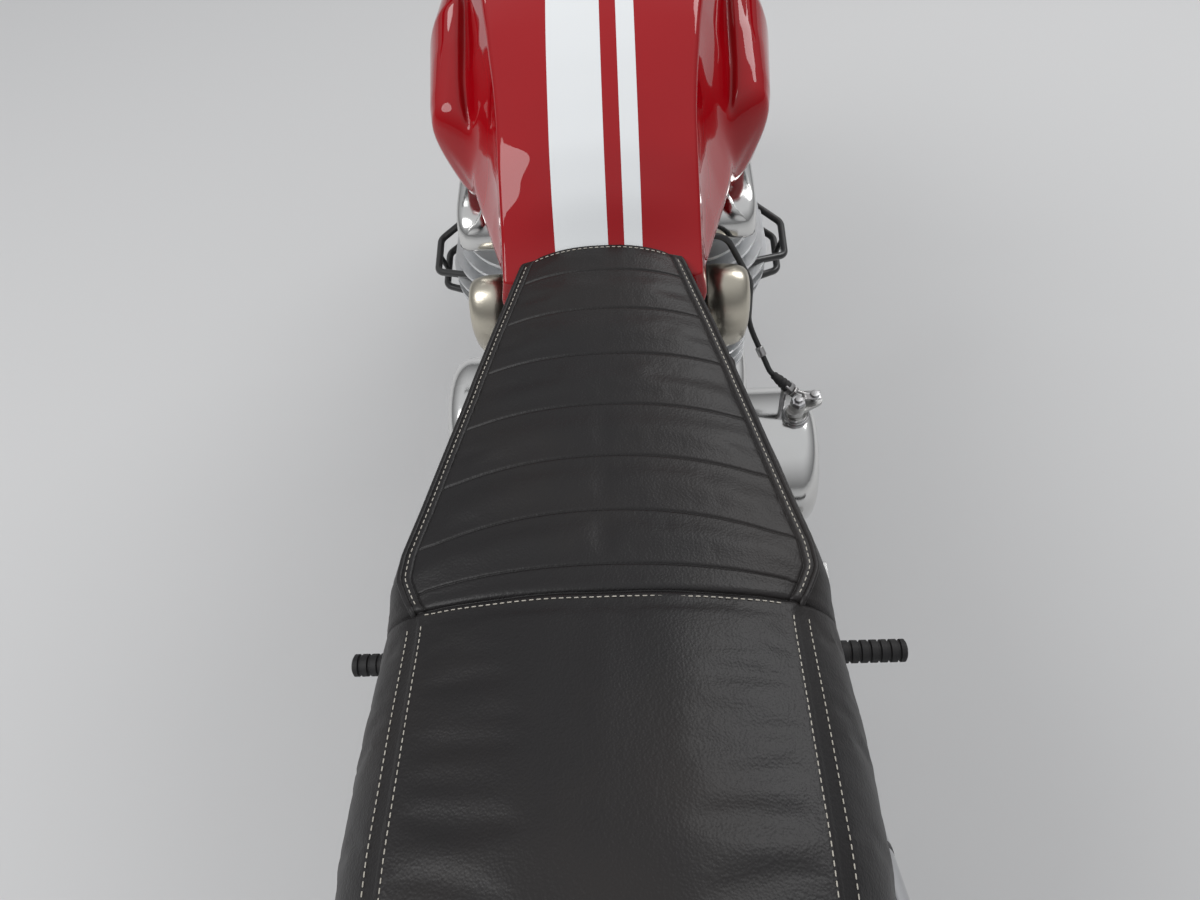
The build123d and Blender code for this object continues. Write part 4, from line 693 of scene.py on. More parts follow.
def seat_ring(station):
    half = [top_point(station, inset, 1) for inset in INSETS]
    width = top_edge(station)
    for i in range(1, INNER_STEPS + 1):
        half.append(top_point(station, INSETS[-1] + (width - INSETS[-1]) * i / INNER_STEPS, 1))
    skirt = [skirt_point(station, i / SKIRT_STEPS, 1) for i in range(1, SKIRT_STEPS + 1)]
    x, low_y, low_z = skirt[-1]
    under = [(x, low_y - 2.5, low_z - 2), (x, low_y - 7, low_z), (x, low_y * 0.6, low_z + 1)]
    left = list(reversed(under)) + list(reversed(skirt)) + half
    return left + [(x, -y, z) for x, y, z in reversed(left[:-1])]


# Stations stand every 4 mm, with close ones at the front edge and along each sewn line
STATION_STEP = 4.0
AROUND_LINE = (-3, -1.7, -0.9, -0.4, 0, 0.4, 0.9, 1.7, 3)
marks = [SEAT_FRONT - step for step in (0, 0.8, 2, 3.6)]
marks += [*np.arange(SEAT_FRONT - 6, SEAT_REAR - 1, -STATION_STEP)]
for line in SEWN_LINES:
    marks = [mark for mark in marks if abs(mark - line) > 3.2] + [line + step for step in AROUND_LINE]
seat = grid_from([seat_ring(mark) for mark in sorted(marks, reverse=True)], "seat_cover")

# The foam pushes the leather out between its seams, and the leather settles into soft folds. Slack grows with
# the distance from a sewn line and from the edge, and the hem is held.
LINE_HOLD = 14
EDGE_HOLD = 16
HEM_HOLD = 14
END_HOLD = 12
SETTLING_FRAMES = 14
MOST = 0.002
held = seat.vertex_groups.new(name="held")
for vertex in seat.data.vertices:
    x, y, z = vertex.co * 1000
    station = x + bow_at(x) * (y / BOW_HALF) ** 2
    from_line = min(abs(station - line) for line in SEWN_LINES)
    from_edge = abs(abs(y) - top_edge(x))
    slack = min(1, from_line / LINE_HOLD) * min(1, from_edge / EDGE_HOLD)
    if z < hem_height(x) + HEM_HOLD or x > SEAT_FRONT - END_HOLD or x < SEAT_REAR + END_HOLD:
        slack = 0
    held.add([vertex.index], 1 - slack, "REPLACE")
rest = np.array([vertex.co for vertex in seat.data.vertices])
stretch = seat.modifiers.new("stretch", "CLOTH")
stretch.settings.quality = 4
stretch.settings.mass = 0.3
stretch.settings.tension_stiffness = 20
stretch.settings.bending_stiffness = 1.5
stretch.settings.use_pressure = True
stretch.settings.uniform_pressure_force = 2.5
stretch.settings.shrink_min = -0.006
stretch.settings.vertex_group_mass = "held"
stretch.settings.effector_weights.gravity = 0
for number in range(1, SETTLING_FRAMES + 1):
    bpy.context.scene.frame_set(number)
settled = seat.evaluated_get(bpy.context.evaluated_depsgraph_get()).data
moved = np.array([vertex.co for vertex in settled.vertices]) - rest
bpy.context.scene.frame_set(1)
seat.modifiers.remove(stretch)
size = np.linalg.norm(moved, axis=1, keepdims=True)
moved *= np.minimum(1, MOST / np.maximum(size, 1e-9))
seat.data.vertices.foreach_set("co", (rest + moved).ravel())
seat.data.update()

# Fine grained leather: small rounded cells with creases between them
leather = finish(
    "leather", (0.0085, 0.0075, 0.008), (0.014, 0.011, 0.010), 0.46, share=0.8, patch=7, grain=260,
    spread=0.14, relief=0.12, edge_radius=0, Specular_IOR_Level=0.42,
)
CELLS_PER_METRE = 700
tree = leather.node_tree
cells = new_node(tree, "TexVoronoi", {"Scale": CELLS_PER_METRE}, feature="SMOOTH_F1")
bump = next(node for node in tree.nodes if node.type == "BUMP")
pebbled = maths(tree, "ADD", cells.outputs["Distance"], bump.inputs["Height"].links[0].from_socket)
join(tree, (on_object(tree), cells.inputs["Vector"]), (pebbled, bump.inputs["Height"]))
bump.inputs["Strength"].default_value = 0.2
seat.data.materials.append(leather)
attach(seat, "frame")
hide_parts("seat")


# The piping is a cord covered in the seat's leather. It is sewn into the edge of the rider's panel, from the
# cross seam round the nose and back.
def piping(name, points, radius, material):
    bpy.ops.object.select_all(action="DESELECT")
    line = bpy.data.curves.new(name, "CURVE")
    line.dimensions = "3D"
    line.bevel_depth = radius
    line.bevel_resolution = 3
    line.use_fill_caps = True
    spline = line.splines.new("POLY")
    spline.points.add(len(points) - 1)
    for point, place in zip(spline.points, points):
        point.co = (*place, 1)
    cord = bpy.data.objects.new(name, line)
    bpy.context.scene.collection.objects.link(cord)
    cord.select_set(True)
    bpy.context.view_layer.objects.active = cord
    bpy.ops.object.convert(target="MESH")
    cord = bpy.context.object
    dress(cord, material)
    bpy.ops.object.shade_smooth()
    return cord


def lifted(point, up=0.0, out=0.0):
    x, y, z = point
    side = 1 if y > 0 else -1
    return (x / 1000, (y + side * out) / 1000, (z + up) / 1000)


def across_nose(y, behind, seen_at, up):
    height = top_point(SEAT_FRONT - seen_at, NOSE_HALF - abs(y), 1)[2]
    return lifted((SEAT_FRONT - behind - nose_bow(y), y, height + up))


PIPING_R = 0.0021
left_edge = [lifted(top_point(s, 0, 1), up=-0.6, out=0.6) for s in np.arange(-331, -17, 3.0)]
front_edge = [across_nose(y, 1.2, 1.5, -1.5) for y in np.arange(56, -57, -8.0)]
right_edge = [(x, -y, z) for x, y, z in reversed(left_edge)]
seat_piping = piping("seat_piping", left_edge + front_edge + right_edge, PIPING_R, leather)
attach(seat_piping, "frame")

# The seams are sewn in waxed pale thread. One stitch is shaped, then laid along each seam at an even pitch, and
# double seams join the skirts to the top.
STITCH_R = 0.00042
STITCH_LENGTH = 0.0030
STITCH_PITCH = 0.0047
stitch = primitive(
    bpy.ops.mesh.primitive_cylinder_add, "stitch", vertices=6, radius=STITCH_R, depth=STITCH_LENGTH,
    location=(0, 0, 0), rotation=(0, pi / 2, 0),
)
bpy.ops.object.mode_set(mode="EDIT")
bpy.ops.mesh.select_all(action="SELECT")
bpy.ops.mesh.bevel(offset=0.00028, segments=1, affect="EDGES")
bpy.ops.object.mode_set(mode="OBJECT")


# A small shape's points and faces, taken from a piece that is then removed, to be repeated many times
def taken_from(piece):
    points = np.array([vertex.co for vertex in piece.data.vertices])
    faces = [tuple(face.vertices) for face in piece.data.polygons]
    bpy.data.objects.remove(piece)
    return points, faces


def mesh_piece(name, verts, faces, material):
    mesh = bpy.data.meshes.new(name)
    mesh.from_pydata(verts, [], faces)
    mesh.materials.append(material)
    piece = bpy.data.objects.new(name, mesh)
    bpy.context.scene.collection.objects.link(piece)
    return piece


stitch_points, stitch_faces = taken_from(stitch)


def sew(seams, name, material):
    verts, faces = [], []
    for seam in seams:
        seam = np.array(seam)
        runs = np.linalg.norm(np.diff(seam, axis=0), axis=1)
        along = np.concatenate([[0], np.cumsum(runs)])
        for start in np.arange(STITCH_PITCH, along[-1] - STITCH_PITCH, STITCH_PITCH):
            reaches = (start - 0.001, start, start + 0.001)
            ends = [np.array([np.interp(reach, along, seam[:, k]) for k in range(3)]) for reach in reaches]
            forward = (ends[2] - ends[0]) / np.linalg.norm(ends[2] - ends[0])
            sideways = np.cross((0, 0, 1.0), forward)
            sideways /= np.linalg.norm(sideways)
            base = len(verts)
            turned = np.array([forward, sideways, np.cross(forward, sideways)])
            verts += list(stitch_points @ turned + ends[1])
            faces += [tuple(base + k for k in face) for face in stitch_faces]
    return mesh_piece(name, verts, faces, material)


thread_colour = finish(
    "waxed_thread", (0.55, 0.52, 0.46), (0.4, 0.37, 0.32), 0.6, share=0.5, patch=60, grain=1500, relief=0.2,
    edge_radius=0,
)
seams = []
for side in (1, -1):
    seams.append([lifted(top_point(s, 4, side), up=0.2) for s in np.arange(-325, -18, 2.0)])
for side in (1, -1):
    seams.append([lifted(top_point(s, 4.5, side), up=0.2) for s in np.arange(-655, -335, 3.0)])
for side in (1, -1):
    seams.append([lifted(skirt_point(s, 0.075, side), up=0.2, out=0.3) for s in np.arange(-655, -335, 3.0)])
seams.append([
    lifted(top_point(CROSS_SEAM - 4.5, inset, side), up=0.2)
    for side, insets in ((1, np.arange(4, 122, 3.0)), (-1, np.arange(122, 4, -3.0))) for inset in insets
])
seams.append([across_nose(y, 4.5, 5, 0.2) for y in np.arange(58, -59, -4.0)])
seat_thread = sew(seams, "seat_thread", thread_colour)
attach(seat_thread, "frame")


# The clutch cable ends in a black rubber boot, a plated adjuster in a steel bracket on the cover, and a clevis
# that pulls the release arm. Its fittings are turned and folded from plated steel.
def stand(piece, base, axis):
    turn = Vector(axis).to_track_quat("Z", "Y").to_matrix().to_4x4()
    piece.data.transform(Matrix.Translation(Vector(base) / 1000) @ turn)


def turned_piece(name, outline, base, axis, material, steps=32, smooth=35):
    piece = primitive(bpy.ops.mesh.primitive_circle_add, name, vertices=len(outline), radius=1)
    for vertex, (radius, height) in zip(piece.data.vertices, outline):
        vertex.co = Vector((radius, 0, height)) / 1000
    bpy.context.tool_settings.mesh_select_mode = (True, False, False)
    bpy.ops.object.mode_set(mode="EDIT")
    bpy.ops.mesh.select_all(action="SELECT")
    bpy.ops.mesh.spin(steps=steps, angle=2 * pi, center=(0, 0, 0), axis=(0, 0, 1))
    close_up(weld=True)
    stand(piece, base, axis)
    bpy.ops.object.shade_smooth_by_angle(angle=radians(smooth))
    piece.data.materials.append(material)
    return piece


def rounded_box(name, centre, size, round_by, material, turn=None):
    box = primitive(bpy.ops.mesh.primitive_cube_add, name, size=0.001)
    bpy.ops.object.mode_set(mode="EDIT")
    bpy.ops.mesh.select_all(action="SELECT")
    bpy.ops.transform.resize(value=size)
    bpy.ops.mesh.bevel(offset=round_by / 1000, segments=3, affect="EDGES")
    bpy.ops.object.mode_set(mode="OBJECT")
    placed = Matrix.Translation(Vector(centre) / 1000)
    box.data.transform(placed @ turn.to_4x4() if turn else placed)
    bpy.ops.object.shade_smooth_by_angle(angle=radians(40))
    box.data.materials.append(material)
    return box


cable_sheath = finish(
    "cable_sheath", (0.015, 0.015, 0.016), (0.04, 0.04, 0.04), 0.45, share=0.4, patch=40, grain=600,
    relief=0.05, edge_radius=0,
)
coat(cable_sheath, "clutch_cable")
CABLE_END = Vector((76, -204, 503))
CABLE_BEND = Vector((89, -181, 520))
CABLE_RUN = (CABLE_END - CABLE_BEND).normalized()
CABLE_TURN = CABLE_RUN.to_track_quat("Z", "Y").to_matrix()
UPPER_RUN = Vector((-41, -24, -40)).normalized()
ARM_STUD = Vector((68, -233, 491))
PIVOT_STUD = Vector((57, -212, 498))
UPWARD = (0, 0, 1)
HEXAGON = {"steps": 6, "smooth": 20}
BOOT = [
    (0, 0), (4.2, 0), (5, 2), (4.6, 4), (6, 9), (6, 11), (5.4, 12), (6.6, 14), (6.6, 16), (6, 17), (7, 19),
    (7, 23), (6, 24), (0, 24),
]
FERRULE = [(0, 0), (4, 0), (4.8, 1), (4.8, 11), (4, 12), (0, 12)]
LOCK_NUT = [(0, 0), (7, 0), (7.6, 0.8), (7.6, 3.6), (7, 4.4), (0, 4.4)]
CLEVIS_PIN = [(0, -6), (3, -6), (3, 9), (5, 9), (5.6, 10), (5, 12), (0, 12.6)]
ARM_NUT = [(0, 0), (8.4, 0), (9, 0.8), (9, 5), (8, 6), (5, 6), (4.4, 9), (0, 9.6)]
CLEVIS_FLAT = (13, 20, 2.4)
boot = turned_piece("cable_boot", BOOT, CABLE_END - CABLE_RUN * 26, CABLE_RUN, soft_rubber)
assembled("clutch_boot", [boot], "frame")
rod_run = ARM_STUD + Vector((0, 0, 5)) - CABLE_END
rod_length = rod_run.length - 6
pull_rod = [(0, 0), (2, 0), (2, rod_length), (0, rod_length)]
block_at, nut_at = CABLE_END - CABLE_RUN * 2, CABLE_END + CABLE_RUN * 4
fittings = [
    turned_piece("ferrule", FERRULE, CABLE_BEND - UPPER_RUN * 32, UPPER_RUN, ground_steel),
    rounded_box("bracket_leg", (CABLE_END.x, CABLE_END.y + 6, 486), (14, 4, 34), 1.2, ground_steel),
    rounded_box("adjuster_block", block_at, (12, 12, 11), 1.6, ground_steel, CABLE_TURN),
    turned_piece("lock_nut", LOCK_NUT, nut_at, CABLE_RUN, ground_steel, **HEXAGON),
    turned_piece("pull_rod", pull_rod, CABLE_END, rod_run, ground_steel, steps=12),
    rounded_box("clevis_top", ARM_STUD + Vector((0, 3, 8)), CLEVIS_FLAT, 1, ground_steel),
    rounded_box("clevis_low", ARM_STUD + Vector((0, 3, -3)), CLEVIS_FLAT, 1, ground_steel),
    rounded_box("clevis_back", ARM_STUD + Vector((0, 12, 2.5)), (13, 3, 13), 1, ground_steel),
    turned_piece("clevis_pin", CLEVIS_PIN, ARM_STUD, UPWARD, ground_steel),
    turned_piece("arm_nut", ARM_NUT, PIVOT_STUD, UPWARD, ground_steel, **HEXAGON),
]
assembled("clutch_fittings", fittings, "frame")


# The release spring winds round the arm's post. It is bright music wire, hooked behind the arm so that it
# brings the clutch back.
def wound_wire(name, coil_r, wire_r, turns, pitch, base, axis, material, steps=28, sides=8):
    wire = primitive(
        bpy.ops.mesh.primitive_circle_add, name, vertices=sides, radius=wire_r / 1000,
        location=(coil_r / 1000, 0, 0), rotation=ALONG_Y,
    )
    winding = wire.modifiers.new("winding", "SCREW")
    winding.axis = "Z"
    winding.angle = 2 * pi * turns
    winding.screw_offset = pitch * turns / 1000
    winding.steps = winding.render_steps = int(steps * turns)
    winding.use_smooth_shade = True
    bpy.ops.object.modifier_apply(modifier="winding")
    close_up(cap=True, by_edges=True)
    stand(wire, base, axis)
    wire.data.materials.append(material)
    return wire


SPRING_FOOT = PIVOT_STUD - Vector((0, 0, 36))
release_spring = wound_wire("release_spring", 14, 1.3, 4, 4.6, SPRING_FOOT, UPWARD, ground_steel)
assembled("release_spring", [release_spring], "frame")

# The rocker cover is cast in aluminium and polished, with a round inspection cap screwed in over each valve.
# Its edge is given as a line of corners, which are cut round twice.
ROCKER_EDGE = [
    (111, 700.6), (111, 716), (116, 730), (127, 739), (146, 743), (205, 744.6), (264, 743), (283, 739),
    (294, 730), (299, 716), (299, 700.6), (205, 700.6),
]
ROCKER_MIDDLE = (205, 700.6)
# Half of the cover's sections: how far out, and the size there
HALF_COVER = [(151.6, 0.84), (151, 0.9), (148, 0.955), (142, 0.99), (132, 1), (60, 1)]


def rounded_line(points, times=2):
    for _ in range(times):
        finer = []
        for (ax, ay), (bx, by) in zip(points, points[1:] + points[:1]):
            finer.append((0.75 * ax + 0.25 * bx, 0.75 * ay + 0.25 * by))
            finer.append((0.25 * ax + 0.75 * bx, 0.25 * ay + 0.75 * by))
        points = finer
    return points


def lofted(name, outline, middle, sections, material):
    mx, mz = middle
    rings = [[(mx + (x - mx) * s, y, mz + (z - mz) * s) for x, z in outline] for y, s in sections]
    piece = grid_from(rings, name)
    piece.data.materials.append(material)
    return piece


CAP = [(0, -8), (24, -8), (24, 2.6), (23.2, 3.8), (21, 4), (20, 3), (18.6, 2.2), (12, 3.6), (0, 4.2)]
CAP_PLACES = [(x, side) for side in (1, -1) for x in (139, 271)]
CAP_Y, CAP_Z = 134, 727
cover_sections = [(-y, s) for y, s in HALF_COVER] + [(0, 1)] + HALF_COVER[::-1]
cover_edge = rounded_line(ROCKER_EDGE)
rocker_pieces = [lofted("rocker_casting", cover_edge, ROCKER_MIDDLE, cover_sections, polished_alloy)]
for x, side in CAP_PLACES:
    cap_at, cap_run = (x, side * CAP_Y, CAP_Z), (0, side * 0.72, 0.69)
    rocker_pieces.append(turned_piece("inspection_cap", CAP, cap_at, cap_run, polished_alloy, steps=64))
rocker = assembled("rocker_cover_visible", rocker_pieces, "frame")
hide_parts("rocker_cover")

# Each throttle body is clamped in rubber between the head and the air box, behind a leaf-shaped cover that is
# pressed from aluminium and lacquered a pale champagne.
brushed_alloy = finish(
    "brushed_alloy", (0.6, 0.56, 0.47), (0.45, 0.42, 0.36), 0.3, metal=1, share=0.4, patch=18, grain=500,
    spread=0.12, relief=0.08,
)
coat(brushed_alloy, "throttle_bodies")
DOME_EDGE = [
    (44, 688), (60, 704), (82, 702), (97, 684), (99, 655), (91, 618), (74, 590), (58, 600), (42, 632),
    (36, 662),
]
DOME_MIDDLE = (72, 658)
# The cover's sections: how far out, and the size there, with a groove round its raised middle
DOME_SECTIONS = [
    (100, 1), (116, 1), (124, 0.985), (131, 0.95), (136.5, 0.89), (140, 0.8), (141.4, 0.7), (141.4, 0.66),
    (140.6, 0.64), (140.6, 0.6), (142, 0.57), (143, 0.45), (143.6, 0.25), (143.8, 0.05),
]
BORE = [(0, 0), (22, 0), (22, 6), (24, 8), (24, 26), (21, 30), (21, 66), (24, 70), (24, 77), (0, 77)]
FOLDS = [(23, 16), (25, 20), (23, 24), (25, 28), (23, 32)]
DUCT = [(0, 0), (25, 0), (25, 12), *FOLDS, (25, 36), (25, 56), (0, 56)]
HOSE_CLAMP = [(24.6, 0), (26.2, 0), (26.2, 8), (24.6, 8)]
# Turned pieces on the intake's line: name, outline, where they start, and material
INTAKE = [
    ("throttle_bore", BORE, 18, cast_alloy), ("rubber_duct", DUCT, -40, soft_rubber),
    ("hose_clamp", HOSE_CLAMP, -36, ground_steel), ("hose_clamp", HOSE_CLAMP, 4, ground_steel),
]
INTAKE_Y, INTAKE_Z = 75, 645
dome_edge = rounded_line(DOME_EDGE, 3)
throttle_pieces = []
for side in (1, -1):
    sections = [(side * y, s) for y, s in DOME_SECTIONS]
    throttle_pieces.append(lofted("leaf_cover", dome_edge, DOME_MIDDLE, sections, brushed_alloy))
    for name, outline, x, material in INTAKE:
        place = (x, side * INTAKE_Y, INTAKE_Z)
        throttle_pieces.append(turned_piece(name, outline, place, (1, 0, 0), material, steps=48))
throttle = assembled("throttle_visible", throttle_pieces, "frame")
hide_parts("throttle_bodies")

# Each shock has a coil spring over its damper, wound cold from 7 mm wire and chromed. It is held between two
# seats on the damper's body and rod.
SHOCK_FOOT = Vector((-565, 151, 348))
SHOCK_TOP = Vector((-455, 151, 665))
shock_run = SHOCK_TOP - SHOCK_FOOT
SEAT_LOW = 54
SEAT_HIGH = shock_run.length - 68
WIRE_R = 3.6
COIL_R = 21.5
SPRING_TURNS = 10
coil_pitch = (SEAT_HIGH - SEAT_LOW - 6) / SPRING_TURNS
springs = []
for side in (1, -1):
    foot = Vector((SHOCK_FOOT.x, side * SHOCK_FOOT.y, SHOCK_FOOT.z)) + shock_run.normalized() * (SEAT_LOW + 3)
    springs.append(wound_wire(
        "spring", COIL_R, WIRE_R, SPRING_TURNS, coil_pitch, foot, shock_run, chrome, steps=32, sides=10,
    ))
spring_pair = assembled("coil_springs", springs, "frame")
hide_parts("shock_springs")

# The drive chain is a steel roller chain: pairs of waisted plates, joined by pins through hardened rollers. It
# runs in one straight stretch above and one below between its sprockets.
SPROCKETS = (Vector((-5, 0, 372)), 43, Vector((-655, 0, 333)), 109)
CHAIN_PITCH = 15.875
HALF_PITCH = CHAIN_PITCH / 2000
CHAIN_RISE = 1.5
CHAIN_Y = 88
PLATE_R = 0.0068
PLATE_WAIST = 0.7
# Half the gap between the plates of an inner and of an outer link
PLATE_GAPS = (0.0057, 0.0075)


def chain_route(rise):
    front, front_r, rear, rear_r = SPROCKETS
    front_r, rear_r = front_r + rise, rear_r + rise
    line = rear - front
    lean = np.arctan2(line.z, line.x)
    spread = np.arccos((front_r - rear_r) / line.length)
    route = []
    top_angle, low_angle = lean - spread, lean + spread
    for angle in np.linspace(low_angle - 2 * pi, top_angle, 60):
        route.append((front.x + front_r * cos(angle), front.z + front_r * sin(angle)))
    for angle in np.linspace(top_angle, low_angle, 160):
        route.append((rear.x + rear_r * cos(angle), rear.z + rear_r * sin(angle)))
    return np.array(route + route[:1])


cylinder = bpy.ops.mesh.primitive_cylinder_add
link_plate = primitive(cylinder, "link_plate", vertices=12, radius=PLATE_R, depth=0.0016, rotation=ALONG_Y)
pick_faces(link_plate, lambda centre, normal: normal.x > 0.3)
bpy.ops.transform.translate(value=(HALF_PITCH, 0, 0))
pick_faces(link_plate, lambda centre, normal: normal.x < -0.3)
bpy.ops.transform.translate(value=(-HALF_PITCH, 0, 0))
bpy.ops.object.mode_set(mode="OBJECT")
for vertex in link_plate.data.vertices:
    if abs(vertex.co.x) < 0.0001:
        vertex.co.z *= PLATE_WAIST
at_end = {"location": (-HALF_PITCH, 0, 0), "rotation": ALONG_Y}
roller = primitive(cylinder, "roller", vertices=10, radius=0.0051, depth=0.0098, **at_end)
chain_pin = primitive(cylinder, "chain_pin", vertices=6, radius=0.0026, depth=0.0172, **at_end)
plate, roller, chain_pin = (taken_from(piece) for piece in (link_plate, roller, chain_pin))
link_points, link_faces = ([], []), ([], [])
for odd, gap in enumerate(PLATE_GAPS):
    for (points, faces), shifts in ((plate, (gap, -gap)), (roller, (0,)), (chain_pin, (0,))):
        for shift in shifts:
            base = len(link_points[odd])
            link_points[odd].extend(points + (0, shift, 0))
            link_faces[odd].extend(tuple(base + k for k in face) for face in faces)
route = chain_route(CHAIN_RISE)
along = np.concatenate([[0], np.cumsum(np.linalg.norm(np.diff(route, axis=0), axis=1))])
links = 2 * round(along[-1] / CHAIN_PITCH / 2)
verts, faces = [], []
for number in range(links):
    ends = []
    for step in (0, 1):
        distance = (number + step) * along[-1] / links % along[-1]
        ends.append(np.array([np.interp(distance, along, route[:, k]) for k in (0, 1)]))
    middle = (ends[0] + ends[1]) / 2000
    ahead_x, ahead_z = (ends[1] - ends[0]) / np.linalg.norm(ends[1] - ends[0])
    base = len(verts)
    for x, y, z in link_points[number % 2]:
        at_x = middle[0] + x * ahead_x - z * ahead_z
        at_z = middle[1] + x * ahead_z + z * ahead_x
        verts.append((at_x, CHAIN_Y / 1000 + y, at_z))
    faces += [tuple(base + k for k in face) for face in link_faces[number % 2]]
chain_links = mesh_piece("chain_links", verts, faces, ground_steel)
bpy.ops.object.select_all(action="DESELECT")
chain_links.select_set(True)
bpy.context.view_layer.objects.active = chain_links
close_up()
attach(chain_links, "frame")
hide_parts("chain")


# Each wheel has 36 steel spokes, drawn tight by brass nipples in a rolled and chromed steel rim. The tyre is
# moulded in black rubber. Its tread has grooves all round and slanting ones that stop short of its shoulders.
def arc_points(first, through, last, count):
    (ax, ay), (bx, by), (cx, cy) = first, through, last
    d = 2 * (ax * (by - cy) + bx * (cy - ay) + cx * (ay - by))
    ux = ((ax**2 + ay**2) * (by - cy) + (bx**2 + by**2) * (cy - ay) + (cx**2 + cy**2) * (ay - by)) / d
    uy = ((ax**2 + ay**2) * (cx - bx) + (bx**2 + by**2) * (ax - cx) + (cx**2 + cy**2) * (bx - ax)) / d
    start, middle, end = (np.arctan2(y - uy, x - ux) for x, y in (first, through, last))
    turn = (end - start) % (2 * pi)
    if (middle - start) % (2 * pi) > turn:
        turn -= 2 * pi
    radius = np.hypot(ax - ux, ay - uy)
    angles = [start + turn * k / count for k in range(count)]
    return [(ux + radius * cos(angle), uy + radius * sin(angle)) for angle in angles]


tyre_rubber = finish(
    "tyre_rubber", (0.017, 0.017, 0.018), (0.05, 0.048, 0.045), 0.72, share=0.6, patch=25, grain=300,
    relief=0.3, edge_radius=0,
)
coat(tyre_rubber, "front_tyre", "rear_tyre")

# The tread's grooves, as a height and as the share of rubber that the road has rubbed pale. Widths and places
# across are shares of the tyre's half-width, and a slanting groove's width is a share of their pitch.
GROOVES = 56
GROOVE_LEAN = 1.6
SLANT_WIDTH = 0.09
SLANT_IN, SLANT_OUT = 0.12, 0.8
CENTRE_WIDTH = 0.035
RING_AT, RING_WIDTH = 0.46, 0.03
TREAD_FROM_R = 0.288
RUBBED_SHARE = 0.5
RUBBED_GREY = (0.045, 0.044, 0.043, 1)
tread, given, result = shader_group(
    "tread",
    [("Axle", "NodeSocketVector", (0, 0, 0)), ("Half Width", "NodeSocketFloat", 0.05)],
    [("Height", "NodeSocketFloat"), ("Rubbed", "NodeSocketFloat")],
)
offset = new_node(tread, "VectorMath", operation="SUBTRACT")
join(tread, (on_object(tread), offset.inputs[0]), (given.outputs["Axle"], offset.inputs[1]))
from_axle = parts_of(tread, offset.outputs[0])
angle = maths(tread, "ARCTAN2", from_axle["Z"], from_axle["X"])
sideways = maths(tread, "DIVIDE", maths(tread, "ABSOLUTE", from_axle["Y"]), given.outputs["Half Width"])
around = maths(tread, "MULTIPLY", angle, GROOVES / (2 * pi))
turns = maths(tread, "ADD", around, maths(tread, "MULTIPLY", sideways, GROOVE_LEAN))
slant = steep(tread, SLANT_WIDTH, maths(tread, "PINGPONG", turns, 0.5), 30)
centre_line = steep(tread, CENTRE_WIDTH, sideways, 60)
from_ring = maths(tread, "ABSOLUTE", maths(tread, "SUBTRACT", sideways, RING_AT))
ring_line = steep(tread, RING_WIDTH, from_ring, 60)
in_band = maths(tread, "MULTIPLY", steep(tread, SLANT_OUT, sideways, 20), steep(tread, sideways, SLANT_IN, 20))
slanted = maths(tread, "MULTIPLY", slant, in_band)
lines = maths(tread, "MAXIMUM", centre_line, ring_line)
groove = maths(tread, "MAXIMUM", slanted, lines)
squares = [maths(tread, "MULTIPLY", from_axle[way], from_axle[way]) for way in "XZ"]
radius = maths(tread, "SQRT", maths(tread, "ADD", *squares))
on_tread = steep(tread, radius, TREAD_FROM_R, 300)
uncut = maths(tread, "SUBTRACT", 1, maths(tread, "MULTIPLY", groove, on_tread))
join(
    tread,
    (uncut, result.inputs["Height"]),
    (maths(tread, "MULTIPLY", on_tread, uncut), result.inputs["Rubbed"]),
)
BEAD_SEAT_R = 229
FLANGE_R = 242
RIM_WALL = 5
WALL_STEPS = 9
CROWN_ARCS = 24
SPOKES = 36
SPOKE_LEAN = 55
NIPPLE_R = 215
NIPPLE_OUT = 5
NIPPLE_SUNK = 13
LAYER = 2.2
